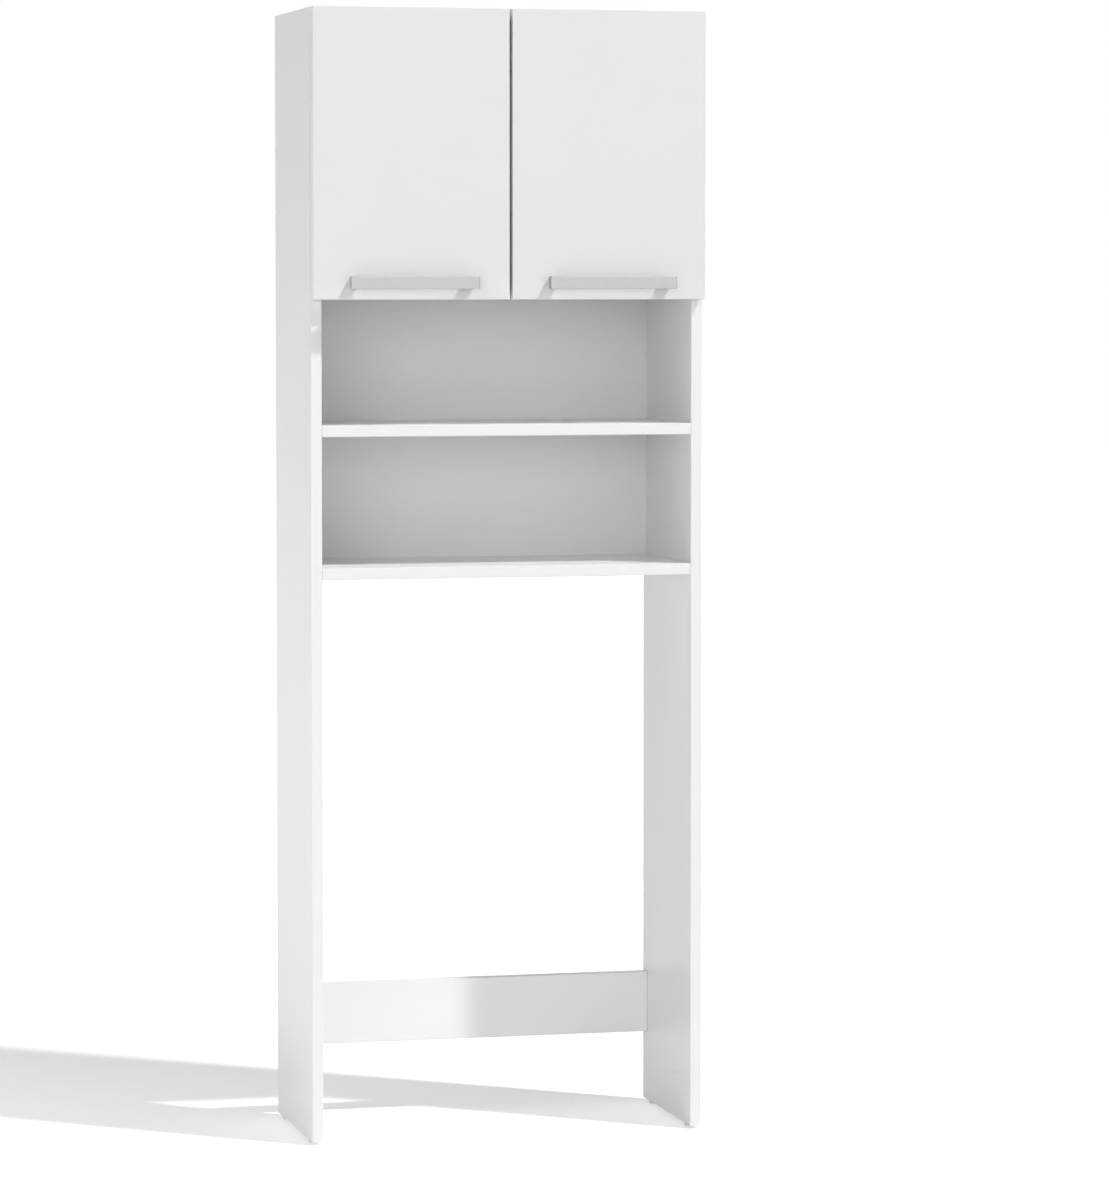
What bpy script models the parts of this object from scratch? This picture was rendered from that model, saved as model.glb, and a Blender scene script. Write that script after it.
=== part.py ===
"""A tall white cabinet that stands over a washing machine.

Two side panels run down to the floor and leave a bay between them. Over the bay are two open niches,
and over those a cupboard with two doors on concealed hinges. The front faces -Y, +Z is up, the origin
is on the floor under the middle of the whole object, and all lengths are in metres.
"""

import math

import bmesh
import bpy
from mathutils import Matrix, Vector

# Driving dimensions of the cabinet
CABINET_WIDTH = 0.640
CABINET_HEIGHT = 1.800
PANEL_DEPTH = 0.288
BOARD = 0.018
BAY_HEIGHT = 0.899
LOWER_NICHE_HEIGHT = 0.2075003
UPPER_NICHE_HEIGHT = 0.1984903
EDGE_EASE = 0.0008

# Doors and handles
DOOR_THICKNESS = 0.018
DOOR_AIR = 0.0035
DOOR_SIDE_REVEAL = 0.0005
DOOR_MIDDLE_GAP = 0.005
HANDLE_LENGTH = 0.207
HANDLE_HEIGHT = 0.020
HANDLE_REACH = 0.030
HANDLE_BAR = 0.008
HANDLE_LEG = 0.015
HANDLE_CORNER = 0.002
HANDLE_RISE = 0.017
HANDLE_EASE = 0.0005

# Clearances: SEAT lies between pieces that touch on the real cabinet
SEAT = 0.0003
OVERRUN = 0.002
SHELF_PLAY = 0.001

# Back panel, slid into a groove all round
BACK_THICKNESS = 0.003
BACK_INSET = 0.015
GROOVE_DEPTH = 0.008

# Rear rail in the bay
RAIL_HEIGHT = 0.100
RAIL_FOOT = 0.120
RAIL_INSET = 0.010

# Glides under the side panels
GLIDE_HEIGHT = 0.005
GLIDE_RADIUS = 0.0080
GLIDE_FACE_RADIUS = 0.0062
GLIDE_RIM = 0.0012
GLIDE_NAIL_RADIUS = 0.0015
GLIDE_NAIL = 0.014
GLIDE_END_INSET = 0.035

# Wooden dowels and cam fittings in the ends of the fixed boards
DOWEL_RADIUS = 0.0040
DOWEL_REACH = 0.0095
DOWEL_IN_BOARD = 0.012
DOWEL_TIP = 0.0010
CAM_RADIUS = 0.0072
CAM_DEPTH = 0.0125
CAM_INSET = 0.024
CAM_SLOT = 0.0014
CAM_SLOT_DEPTH = 0.0025
CAM_BOLT_RADIUS = 0.0030
CAM_BOLT_REACH = 0.010
FIXING_shares = (0.2, 0.5, 0.8)

# Inner shelf and its pins
SHELF_DEPTH = 0.235
SHELF_RISE_share = 0.5
PIN_RADIUS = 0.0025
PIN_REACH = 0.008
PIN_HEAD_RADIUS = 0.0040
PIN_HEAD = 0.007
PIN_PITCH = 0.032
PIN_INSET = 0.037

# Concealed hinge. Places are measured inwards from the side panel's inner face, and outwards from
# the door's back face, which is where the cup's mouth lies.
HINGE_END_INSET = 0.090
CUP_RADIUS = 0.0175
CUP_WALL = 0.0010
CUP_DEPTH = 0.0112
CUP_IN = 0.0050
CUP_RIM = 0.0008
CUP_RIM_RADIUS = 0.0190
EAR_SPACING = 0.045
EAR_OFFSET = 0.0095
EAR_WIDTH = 0.0115
EAR_END = 0.0058
EAR_CORNER = 0.0035
EAR_INSET = 0.0001
OUTER_ARM_IN, OUTER_ARM_OUT = 0.0104, -0.0085
OUTER_CUP_IN, OUTER_CUP_OUT = -0.0075, 0.0045
OUTER_BEND_IN, OUTER_BEND_OUT = 0.0030, 0.0153
INNER_ARM_IN, INNER_ARM_OUT = 0.0163, 0.0040
INNER_CUP_IN, INNER_CUP_OUT = -0.0015, 0.0024
INNER_BEND_IN, INNER_BEND_OUT = 0.0045, 0.0092
LINK_PIN_RADIUS = 0.0014
LINK_PIN_AIR = 0.0003
LINK_EYE = 0.0025
LINK_WAIST = 0.0019
LINK_THICKNESS = 0.0048
LINK_AIR = 0.0004
ARM_CHEEK = 0.0016
ARM_WEB = 0.0015
ARM_UNDERSIDE_IN = 0.0050
ARM_TOP_IN = 0.0187
ARM_LENGTH = 0.072
ARM_EYE = 0.0028
ARM_NECK = 0.0090
ARM_WEB_SETBACK = 0.0045

# Hinge mounting plate, on the side panel's inner face
PLATE_SETBACK = 0.037
PLATE_THICKNESS = 0.0020
PLATE_LENGTH = 0.048
PLATE_WIDTH = 0.011
PLATE_BED_IN = 0.0165
WING_WIDTH = 0.016
WING_SPAN = 0.046
WING_SCREW_SPACING = 0.032
EURO_SCREW_RADIUS = 0.0025
EURO_SCREW_REACH = 0.010
SCREW_HEAD_RADIUS = 0.0038
SCREW_HEAD = 0.0020
ARM_SCREW_RADIUS = 0.0020
ARM_SCREW_AHEAD = 0.014
CUP_SCREW_RADIUS = 0.0017
CUP_SCREW_REACH = 0.011

# Handle screws
HANDLE_SCREW_RADIUS = 0.0020
HANDLE_SCREW_REACH = 0.011
HANDLE_HEAD_RADIUS = 0.0042
HANDLE_HEAD = 0.0024
RECESS_LENGTH = 0.0044
RECESS_WIDTH = 0.0011
RECESS_DEPTH = 0.0013

# Door bumpers and wall angles
BUMPER_RADIUS = 0.0045
BUMPER_INSET = 0.018
ANGLE_LEG = 0.034
ANGLE_WIDTH = 0.020
ANGLE_THICKNESS = 0.002
ANGLE_INSET = 0.060
ANGLE_HOLE_share = 0.62
ANGLE_HOLE_RADIUS = 0.0030
ANGLE_SCREW_RADIUS = 0.0020
ANGLE_SCREW_REACH = 0.012

# Facets round holes, pins and turned pieces
FINE_SIDES = 24
MIDDLE_SIDES = 12
COARSE_SIDES = 8
BEND_STEPS = 8
CAP_STEPS = 3
SMOOTH_ANGLE = math.radians(50)

# Places that follow from the sizes
INNER_HALF = CABINET_WIDTH / 2 - BOARD
TOTAL_DEPTH = HANDLE_REACH + DOOR_THICKNESS + DOOR_AIR + PANEL_DEPTH
REAR_Y = TOTAL_DEPTH / 2
FRONT_Y = REAR_Y - PANEL_DEPTH
DOOR_BACK_Y = FRONT_Y - DOOR_AIR
DOOR_FRONT_Y = DOOR_BACK_Y - DOOR_THICKNESS
BACK_PANEL_Y = REAR_Y - BACK_INSET - BACK_THICKNESS
BAY_SHELF_Z = BAY_HEIGHT
OPEN_SHELF_Z = BAY_SHELF_Z + BOARD + LOWER_NICHE_HEIGHT
FLOOR_Z = OPEN_SHELF_Z + BOARD + UPPER_NICHE_HEIGHT
TOP_Z = CABINET_HEIGHT - BOARD
CUPBOARD_HEIGHT = TOP_Z - FLOOR_Z - BOARD
INNER_SHELF_Z = FLOOR_Z + BOARD + CUPBOARD_HEIGHT * SHELF_RISE_share - BOARD / 2
DOOR_HEIGHT = CABINET_HEIGHT - FLOOR_Z
DOOR_INNER_X = DOOR_MIDDLE_GAP / 2
DOOR_OUTER_X = CABINET_WIDTH / 2 - DOOR_SIDE_REVEAL
HINGE_HEIGHTS = {
    "lower": FLOOR_Z + HINGE_END_INSET,
    "upper": CABINET_HEIGHT - HINGE_END_INSET,
}
LINK_TOP = LINK_AIR + LINK_THICKNESS
CHEEK_IN = LINK_TOP + LINK_AIR
CHEEK_OUT = CHEEK_IN + ARM_CHEEK
SIDES = {"left": -1, "right": 1}
ENDS = {"front": FRONT_Y + GLIDE_END_INSET, "rear": REAR_Y - GLIDE_END_INSET}

# Start from an empty scene
for leftover in list(bpy.data.objects):
    bpy.data.objects.remove(leftover)

PARTS = bpy.data.collections.new("washing_machine_cabinet")
CUTTERS = bpy.data.collections.new("cutters")
bpy.context.scene.collection.children.link(PARTS)
bpy.context.scene.collection.children.link(CUTTERS)


def finish(name, colour, roughness, metallic=0.0):
    """A plain material with a colour, a roughness and a metallic value."""
    material = bpy.data.materials.new(name)
    material.use_nodes = True
    shader = material.node_tree.nodes["Principled BSDF"]
    shader.inputs["Base Color"].default_value = (*colour, 1.0)
    shader.inputs["Roughness"].default_value = roughness
    shader.inputs["Metallic"].default_value = metallic
    return material


WHITE_BOARD = finish("white_laminate", (0.83, 0.83, 0.83), 0.45)
WHITE_DOOR = finish("white_door_front", (0.84, 0.84, 0.84), 0.30)
WHITE_BACK = finish("white_hardboard", (0.80, 0.80, 0.80), 0.55)
SATIN_METAL = finish("satin_metal", (0.62, 0.62, 0.62), 0.38, 0.9)
PLATED_STEEL = finish("plated_steel", (0.66, 0.66, 0.65), 0.28, 1.0)
ZINC = finish("zinc_casting", (0.58, 0.58, 0.58), 0.45, 0.9)
WHITE_PLASTIC = finish("white_plastic", (0.85, 0.85, 0.84), 0.50)
CLEAR_RUBBER = finish("soft_bumper", (0.75, 0.75, 0.74), 0.35)


# Tools for making, cutting and joining pieces


def keep(name, mesh, material, placing=None):
    """Puts a mesh in the scene as a named piece, placed by a matrix."""
    piece = bpy.data.objects.new(name, mesh)
    piece.matrix_world = placing or Matrix()
    PARTS.objects.link(piece)
    if not mesh.materials:
        mesh.materials.append(material)
    return piece


def box_in(shape, low, high):
    """Adds a box between two corners to a bmesh."""
    low, high = Vector(low), Vector(high)
    stretch = Matrix.Diagonal((*(high - low), 1.0))
    bmesh.ops.create_cube(shape, size=1, matrix=Matrix.Translation((low + high) / 2) @ stretch)


def rod_in(shape, start, end, radius, sides, tip=None):
    """Adds a round rod between two points to a bmesh, with its flats turned to the main axes.

    tip is its radius at the end.
    """
    start, end = Vector(start), Vector(end)
    way = end - start
    turn = way.to_track_quat("Z", "Y").to_matrix().to_4x4()
    turn = turn @ Matrix.Rotation(math.pi / sides, 4, "Z")
    bmesh.ops.create_cone(
        shape, cap_ends=True, cap_tris=False, segments=sides,
        radius1=radius, radius2=radius if tip is None else tip, depth=way.length,
        matrix=Matrix.Translation((start + end) / 2) @ turn,
    )


def hidden_tool(name, mesh, placing=None):
    """A hidden object for a Boolean, placed by a matrix."""
    mesh.shade_smooth()
    mesh.set_sharp_from_angle(angle=SMOOTH_ANGLE)
    tool = bpy.data.objects.new(name, mesh)
    tool.matrix_world = placing or Matrix()
    tool.hide_render = True
    tool.display_type = "WIRE"
    CUTTERS.objects.link(tool)
    return tool


def tool_object(name, adders):
    """A hidden object for a Boolean, made of the shapes that the adders put in its mesh."""
    shape = bmesh.new()
    for add, *sizes in adders:
        add(shape, *sizes)
    mesh = bpy.data.meshes.new(name)
    shape.to_mesh(mesh)
    shape.free()
    return hidden_tool(name, mesh)


def boolean(piece, operation, tool):
    """Joins a tool object to a piece, or cuts the piece with it."""
    step = piece.modifiers.new(tool.name, "BOOLEAN")
    step.operation = operation
    step.object = tool


def cut(piece, label, *adders):
    """Cuts shapes that don't touch each other out of a piece."""
    boolean(piece, "DIFFERENCE", tool_object(f"{piece.name}_{label}", adders))


def join(piece, label, *adders):
    """Joins shapes that don't touch each other to a piece."""
    boolean(piece, "UNION", tool_object(f"{piece.name}_{label}", adders))


def ease(piece, width, segments=1):
    """Rounds a piece's sharp edges."""
    step = piece.modifiers.new("eased_edges", "BEVEL")
    step.width = width
    step.segments = segments
    step.limit_method = "ANGLE"


def board(name, low, high, material=WHITE_BOARD):
    """A board between two corners, with its edges eased as banded edges are."""
    low, high = Vector(low), Vector(high)
    shape = bmesh.new()
    bmesh.ops.create_cube(shape, size=1)
    bmesh.ops.scale(shape, vec=high - low, verts=shape.verts)
    mesh = bpy.data.meshes.new(name)
    shape.to_mesh(mesh)
    shape.free()
    piece = keep(name, mesh, material, Matrix.Translation((low + high) / 2))
    ease(piece, EDGE_EASE)
    return piece


def outline_mesh(name, loops, thickness):
    """A flat outline in local X and Y, with any holes, made a slab centred on local Z = 0."""
    curve = bpy.data.curves.new(name, "CURVE")
    curve.dimensions = "2D"
    curve.fill_mode = "BOTH"
    curve.extrude = thickness / 2
    for points in loops:
        spline = curve.splines.new("POLY")
        spline.points.add(len(points) - 1)
        for point, (x, y) in zip(spline.points, points):
            point.co = (x, y, 0, 1)
        spline.use_cyclic_u = True
    drawn = bpy.data.objects.new(name, curve)
    CUTTERS.objects.link(drawn)
    seen = drawn.evaluated_get(bpy.context.evaluated_depsgraph_get())
    mesh = bpy.data.meshes.new_from_object(seen)
    bpy.data.objects.remove(drawn)
    shape = bmesh.new()
    shape.from_mesh(mesh)
    bmesh.ops.remove_doubles(shape, verts=shape.verts, dist=SEAT / 10)
    bmesh.ops.recalc_face_normals(shape, faces=shape.faces)
    shape.to_mesh(mesh)
    shape.free()
    mesh.shade_smooth()
    mesh.set_sharp_from_angle(angle=SMOOTH_ANGLE)
    return mesh


def turned(name, profile, material, placing, sides):
    """A turned piece. The profile runs from the axis, down its outer side, back to the axis."""
    mesh = bpy.data.meshes.new(name)
    mesh.from_pydata(
        [(radius, 0, height) for radius, height in profile],
        [(i, i + 1) for i in range(len(profile) - 1)], [],
    )
    piece = keep(name, mesh, material, placing)
    spin = piece.modifiers.new("turning", "SCREW")
    spin.steps = spin.render_steps = sides
    spin.use_merge_vertices = True
    spin.merge_threshold = SEAT / 10
    spin.use_smooth_shade = True
    return piece


def axis_placing(point, way):
    """The matrix that stands a turned piece at a point, with its local Z along a direction."""
    return Matrix.Translation(point) @ Vector(way).to_track_quat("Z", "Y").to_matrix().to_4x4()


def circle(centre, radius, sides):
    """Points round a circle."""
    return [
        (centre[0] + radius * math.cos(math.tau * i / sides),
         centre[1] + radius * math.sin(math.tau * i / sides))
        for i in range(sides)
    ]


def arc(centre, radius, start, end, steps):
    """Points along an arc between two angles, both ends included."""
    return [
        (centre[0] + radius * math.cos(start + (end - start) * i / steps),
         centre[1] + radius * math.sin(start + (end - start) * i / steps))
        for i in range(steps + 1)
    ]


def rounded_rectangle(low, high, radius, steps=CAP_STEPS):
    """Points round a rectangle whose corners are arcs."""
    quarter = math.pi / 2
    corners = (
        ((high[0] - radius, high[1] - radius), 0), ((low[0] + radius, high[1] - radius), 1),
        ((low[0] + radius, low[1] + radius), 2), ((high[0] - radius, low[1] + radius), 3),
    )
    points = []
    for centre, turn in corners:
        points += arc(centre, radius, turn * quarter, (turn + 1) * quarter, steps)
    return points


def pivot_point(name, x, y):
    """An empty on an upright joint axis, for the pieces that turn about it."""
    empty = bpy.data.objects.new(name, None)
    empty.location = (x, y, FLOOR_Z)
    empty.empty_display_size = BOARD
    PARTS.objects.link(empty)
    return empty


def hang(piece, empty):
    """Parents a piece to its joint's empty, and leaves it where it is."""
    bpy.context.view_layer.update()
    piece.parent = empty
    piece.matrix_parent_inverse = empty.matrix_world.inverted()


# Carcass


def end_fixings(kind):
    """Where a board's dowels and its cam bolt enter the side panel, as (y, z) places."""
    if kind == "rear_rail":
        y = RAIL_FRONT_Y + BOARD / 2
        return [(y, RAIL_FOOT + RAIL_HEIGHT * share) for share in FIXING_shares]
    z = BOARD_HEIGHTS[kind] + BOARD / 2
    depth = BOARD_DEPTHS[kind]
    return [(FRONT_Y + depth * share, z) for share in FIXING_shares]


RAIL_FRONT_Y = REAR_Y - RAIL_INSET - BOARD
BOARD_HEIGHTS = {
    "top_panel": TOP_Z,
    "cupboard_floor": FLOOR_Z,
    "open_shelf": OPEN_SHELF_Z,
    "bay_shelf": BAY_SHELF_Z,
}
SHORT_DEPTH = BACK_PANEL_Y - SEAT - FRONT_Y
BOARD_DEPTHS = {
    "top_panel": PANEL_DEPTH,
    "cupboard_floor": SHORT_DEPTH,
    "open_shelf": SHORT_DEPTH,
    "bay_shelf": PANEL_DEPTH,
}
FIXED_BOARDS = (*BOARD_HEIGHTS, "rear_rail")
GROOVE_FRONT_Y = BACK_PANEL_Y - SEAT
GROOVE_REAR_Y = BACK_PANEL_Y + BACK_THICKNESS + SEAT
BACK_BOTTOM_Z = BAY_SHELF_Z + BOARD - GROOVE_DEPTH + SEAT
BACK_TOP_Z = TOP_Z + GROOVE_DEPTH - SEAT
PIN_PLACES = {"front": FRONT_Y + PIN_INSET, "rear": BACK_PANEL_Y - PIN_INSET}
PIN_Z = INNER_SHELF_Z - SEAT - PIN_HEAD_RADIUS


def side_panel(label, side):
    """A side panel, with its groove and the holes for all that is fixed to it."""
    inner, outer = side * INNER_HALF, side * CABINET_WIDTH / 2
    panel = board(
        f"{label}_side_panel",
        (min(inner, outer), FRONT_Y, GLIDE_HEIGHT),
        (max(inner, outer), REAR_Y, CABINET_HEIGHT),
    )
    groove_x = sorted((inner + side * GROOVE_DEPTH, inner - side * OVERRUN))
    cut(
        panel, "groove",
        (box_in, (groove_x[0], GROOVE_FRONT_Y, BAY_SHELF_Z + BOARD - GROOVE_DEPTH),
         (groove_x[1], GROOVE_REAR_Y, CABINET_HEIGHT + OVERRUN)),
    )
    start = inner - side * OVERRUN
    holes = []
    for kind in FIXED_BOARDS:
        for number, (y, z) in enumerate(end_fixings(kind)):
            is_bolt = number == 1
            radius = (CAM_BOLT_RADIUS if is_bolt else DOWEL_RADIUS) + SEAT
            reach = (CAM_BOLT_REACH if is_bolt else DOWEL_REACH) + SEAT
            holes.append((rod_in, (start, y, z), (inner + side * reach, y, z), radius, COARSE_SIDES))
    for z in HINGE_HEIGHTS.values():
        for step in (-1, 1):
            y, screw_z = FRONT_Y + PLATE_SETBACK, z + step * WING_SCREW_SPACING / 2
            end = inner + side * (EURO_SCREW_REACH + SEAT)
            holes.append((
                rod_in, (start, y, screw_z), (end, y, screw_z),
                EURO_SCREW_RADIUS + SEAT, COARSE_SIDES,
            ))
    for y in PIN_PLACES.values():
        for step in (-1, 0, 1):
            z = PIN_Z + step * PIN_PITCH
            end = inner + side * (PIN_REACH + SEAT)
            holes.append((rod_in, (start, y, z), (end, y, z), PIN_RADIUS + SEAT, COARSE_SIDES))
    for y in ENDS.values():
        x = (inner + outer) / 2
        holes.append((
            rod_in, (x, y, GLIDE_HEIGHT - OVERRUN), (x, y, GLIDE_HEIGHT + GLIDE_NAIL + SEAT),
            GLIDE_NAIL_RADIUS + SEAT, COARSE_SIDES,
        ))
    cut(panel, "holes", *holes)
    return panel


def cam_way(kind):
    """The direction from a cam's face into its board."""
    if kind == "rear_rail":
        return Vector((0, -1, 0))
    return Vector((0, 0, -1 if kind == "cupboard_floor" else 1))


def cam_face(kind, side):
    """The point on a board's face over the middle of a cam."""
    y, z = end_fixings(kind)[1]
    x = side * (INNER_HALF - CAM_INSET)
    return Vector((x, y, z)) - cam_way(kind) * (BOARD / 2)


def fixed_board(kind):
    """A board between the side panels, with its dowels, cam holes and bolt bores."""
    half = INNER_HALF - SEAT
    if kind == "rear_rail":
        low = (-half, RAIL_FRONT_Y, RAIL_FOOT)
        high = (half, RAIL_FRONT_Y + BOARD, RAIL_FOOT + RAIL_HEIGHT)
    else:
        low = (-half, FRONT_Y, BOARD_HEIGHTS[kind])
        high = (half, FRONT_Y + BOARD_DEPTHS[kind], BOARD_HEIGHTS[kind] + BOARD)
    piece = board(kind, low, high)
    places = end_fixings(kind)
    dowels, cam_holes, bores = [], [], []
    for side in SIDES.values():
        for y, z in (places[0], places[2]):
            shank_end = side * (INNER_HALF + DOWEL_REACH - DOWEL_TIP)
            dowels.append((
                rod_in, (side * (half - DOWEL_IN_BOARD), y, z), (shank_end, y, z),
                DOWEL_RADIUS, COARSE_SIDES,
            ))
        y, z = places[1]
        face, way = cam_face(kind, side), cam_way(kind)
        cam_holes.append((
            rod_in, face - way * OVERRUN, face + way * (CAM_DEPTH + SEAT),
            CAM_RADIUS + SEAT, MIDDLE_SIDES,
        ))
        bores.append((
            rod_in, (side * (half + OVERRUN), y, z), (side * (INNER_HALF - CAM_INSET), y, z),
            CAM_BOLT_RADIUS + SEAT, COARSE_SIDES,
        ))
    join(piece, "dowels", *dowels)
    cut(piece, "cam_holes", *cam_holes)
    cut(piece, "bolt_bores", *bores)
    if kind in ("top_panel", "bay_shelf"):
        edge = TOP_Z if kind == "top_panel" else BAY_SHELF_Z + BOARD
        depth = GROOVE_DEPTH if kind == "top_panel" else -GROOVE_DEPTH
        over = -OVERRUN if kind == "top_panel" else OVERRUN
        bottom, top = sorted((edge + over, edge + depth))
        cut(
            piece, "groove",
            (box_in, (-half - OVERRUN, GROOVE_FRONT_Y, bottom), (half + OVERRUN, GROOVE_REAR_Y, top)),
        )
    if kind == "top_panel":
        cut(piece, "angle_screw_holes", *[
            (rod_in, (side * ANGLE_X, ANGLE_SCREW_Y, TOP_Z - OVERRUN),
             (side * ANGLE_X, ANGLE_SCREW_Y, TOP_Z + ANGLE_SCREW_REACH + SEAT),
             ANGLE_SCREW_RADIUS + SEAT, COARSE_SIDES)
            for side in SIDES.values()
        ])
    return piece


def cam_fitting(kind, label, side):
    """A cam in a board's face, with its bolt that runs out of the board's end into the side panel."""
    face, way = cam_face(kind, side), cam_way(kind)
    profile = [
        (0, -SEAT), (CAM_RADIUS - SEAT, -SEAT), (CAM_RADIUS, -SEAT * 2),
        (CAM_RADIUS, -CAM_DEPTH), (0, -CAM_DEPTH),
    ]
    cam = turned(f"{kind}_{label}_cam", profile, ZINC, axis_placing(face, -way), MIDDLE_SIDES)
    y, z = end_fixings(kind)[1]
    join(cam, "bolt", (
        rod_in, (side * (INNER_HALF - CAM_INSET), y, z), (side * (INNER_HALF + CAM_BOLT_REACH), y, z),
        CAM_BOLT_RADIUS, COARSE_SIDES,
    ))
    across = Vector((CAM_RADIUS * 2, CAM_SLOT, CAM_SLOT)) / 2
    across = Vector((across.x, *(way.cross(Vector((1, 0, 0))) * across.y)[1:]))
    deep = way * CAM_SLOT_DEPTH
    corners = [face - way * OVERRUN, face + deep]
    low = Vector(min(a, b) - abs(c) for a, b, c in zip(*corners, across))
    high = Vector(max(a, b) + abs(c) for a, b, c in zip(*corners, across))
    cut(cam, "slot", (box_in, low, high))
    return cam


def back_panel():
    """The thin back, held in grooves on all four sides, with a hole behind each wall angle."""
    half = INNER_HALF + GROOVE_DEPTH - SEAT
    piece = board(
        "back_panel", (-half, BACK_PANEL_Y, BACK_BOTTOM_Z),
        (half, BACK_PANEL_Y + BACK_THICKNESS, BACK_TOP_Z), WHITE_BACK,
    )
    piece.modifiers["eased_edges"].width = SEAT
    cut(piece, "wall_screw_holes", *[
        (rod_in, (side * ANGLE_X, BACK_PANEL_Y - OVERRUN, ANGLE_HOLE_Z),
         (side * ANGLE_X, BACK_PANEL_Y + BACK_THICKNESS + OVERRUN, ANGLE_HOLE_Z),
         ANGLE_HOLE_RADIUS, COARSE_SIDES)
        for side in SIDES.values()
    ])
    return piece


def inner_shelf():
    """The loose shelf in the cupboard."""
    half = INNER_HALF - SHELF_PLAY
    rear = BACK_PANEL_Y - SHELF_PLAY
    return board(
        "inner_shelf", (-half, rear - SHELF_DEPTH, INNER_SHELF_Z), (half, rear, INNER_SHELF_Z + BOARD),
    )


def shelf_pin(label, side, end, y):
    """A pin in the side panel, with the thicker head on which the shelf rests."""
    profile = [
        (0, PIN_HEAD), (PIN_HEAD_RADIUS - SEAT, PIN_HEAD), (PIN_HEAD_RADIUS, PIN_HEAD - SEAT),
        (PIN_HEAD_RADIUS, SEAT), (PIN_RADIUS, SEAT), (PIN_RADIUS, -PIN_REACH), (0, -PIN_REACH),
    ]
    place = axis_placing((side * INNER_HALF, y, PIN_Z), (-side, 0, 0))
    return turned(f"{label}_{end}_shelf_pin", profile, PLATED_STEEL, place, MIDDLE_SIDES)


def glide(label, side, end, y):
    """A plastic glide nailed into a side panel's foot."""
    top = GLIDE_HEIGHT - SEAT
    profile = [
        (0, GLIDE_HEIGHT + GLIDE_NAIL), (GLIDE_NAIL_RADIUS, GLIDE_HEIGHT + GLIDE_NAIL),
        (GLIDE_NAIL_RADIUS, top), (GLIDE_RADIUS, top), (GLIDE_RADIUS, GLIDE_RIM),
        (GLIDE_FACE_RADIUS, 0), (0, 0),
    ]
    place = Matrix.Translation((side * (INNER_HALF + BOARD / 2), y, 0))
    return turned(f"{label}_{end}_glide", profile, WHITE_PLASTIC, place, MIDDLE_SIDES)


ANGLE_X = INNER_HALF - ANGLE_INSET
ANGLE_REAR_Y = BACK_PANEL_Y - SEAT
ANGLE_SCREW_Y = ANGLE_REAR_Y - ANGLE_LEG * ANGLE_HOLE_share
ANGLE_HOLE_Z = TOP_Z - SEAT - ANGLE_LEG * ANGLE_HOLE_share


def wall_angle(label, side):
    """A steel angle under the top panel, with a hole for the screw that goes into the wall."""
    top = TOP_Z - SEAT
    inner = ANGLE_THICKNESS
    points = [
        (ANGLE_REAR_Y, top), (ANGLE_REAR_Y - ANGLE_LEG, top), (ANGLE_REAR_Y - ANGLE_LEG, top - inner),
        *arc((ANGLE_REAR_Y - inner * 2, top - inner * 2), inner, math.pi / 2, 0, CAP_STEPS),
        (ANGLE_REAR_Y - inner, top - ANGLE_LEG), (ANGLE_REAR_Y, top - ANGLE_LEG),
    ]
    mesh = outline_mesh(f"{label}_wall_angle", [points], ANGLE_WIDTH)
    # local X and Y of the outline become Y and Z, and its thickness runs along X
    placing = Matrix.Translation((side * ANGLE_X, 0, 0)) @ Matrix(
        ((0, 0, 1, 0), (1, 0, 0, 0), (0, 1, 0, 0), (0, 0, 0, 1))
    )
    piece = keep(f"{label}_wall_angle", mesh, PLATED_STEEL, placing)
    x = side * ANGLE_X
    cut(piece, "wall_hole", (
        rod_in, (x, ANGLE_REAR_Y + OVERRUN, ANGLE_HOLE_Z),
        (x, ANGLE_REAR_Y - inner - OVERRUN, ANGLE_HOLE_Z), ANGLE_HOLE_RADIUS, COARSE_SIDES,
    ))
    join(piece, "screw", (
        rod_in, (x, ANGLE_SCREW_Y, top - inner / 2), (x, ANGLE_SCREW_Y, TOP_Z + ANGLE_SCREW_REACH),
        ANGLE_SCREW_RADIUS, COARSE_SIDES,
    ))
    join(piece, "screw_head", (
        rod_in, (x, ANGLE_SCREW_Y, top - inner / 2), (x, ANGLE_SCREW_Y, top - inner - SCREW_HEAD),
        SCREW_HEAD_RADIUS, MIDDLE_SIDES, SCREW_HEAD_RADIUS - SCREW_HEAD / 2,
    ))
    return piece


# Doors and handles


def handle_centre(side):
    """The middle of a handle along X, which is the middle of its door."""
    return side * (DOOR_INNER_X + DOOR_OUTER_X) / 2


HANDLE_Z = FLOOR_Z + HANDLE_RISE + HANDLE_HEIGHT / 2
LEG_OFFSET = HANDLE_LENGTH / 2 - HANDLE_LEG / 2


def cup_centre(side):
    """The middle of a hinge cup along X."""
    return side * (INNER_HALF - CUP_IN)


def ear_screws(side, height):
    """The places of a cup's two screws, as (x, z)."""
    x = cup_centre(side) - side * EAR_OFFSET
    return [(x, height + step * EAR_SPACING / 2) for step in (-1, 1)]


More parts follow.
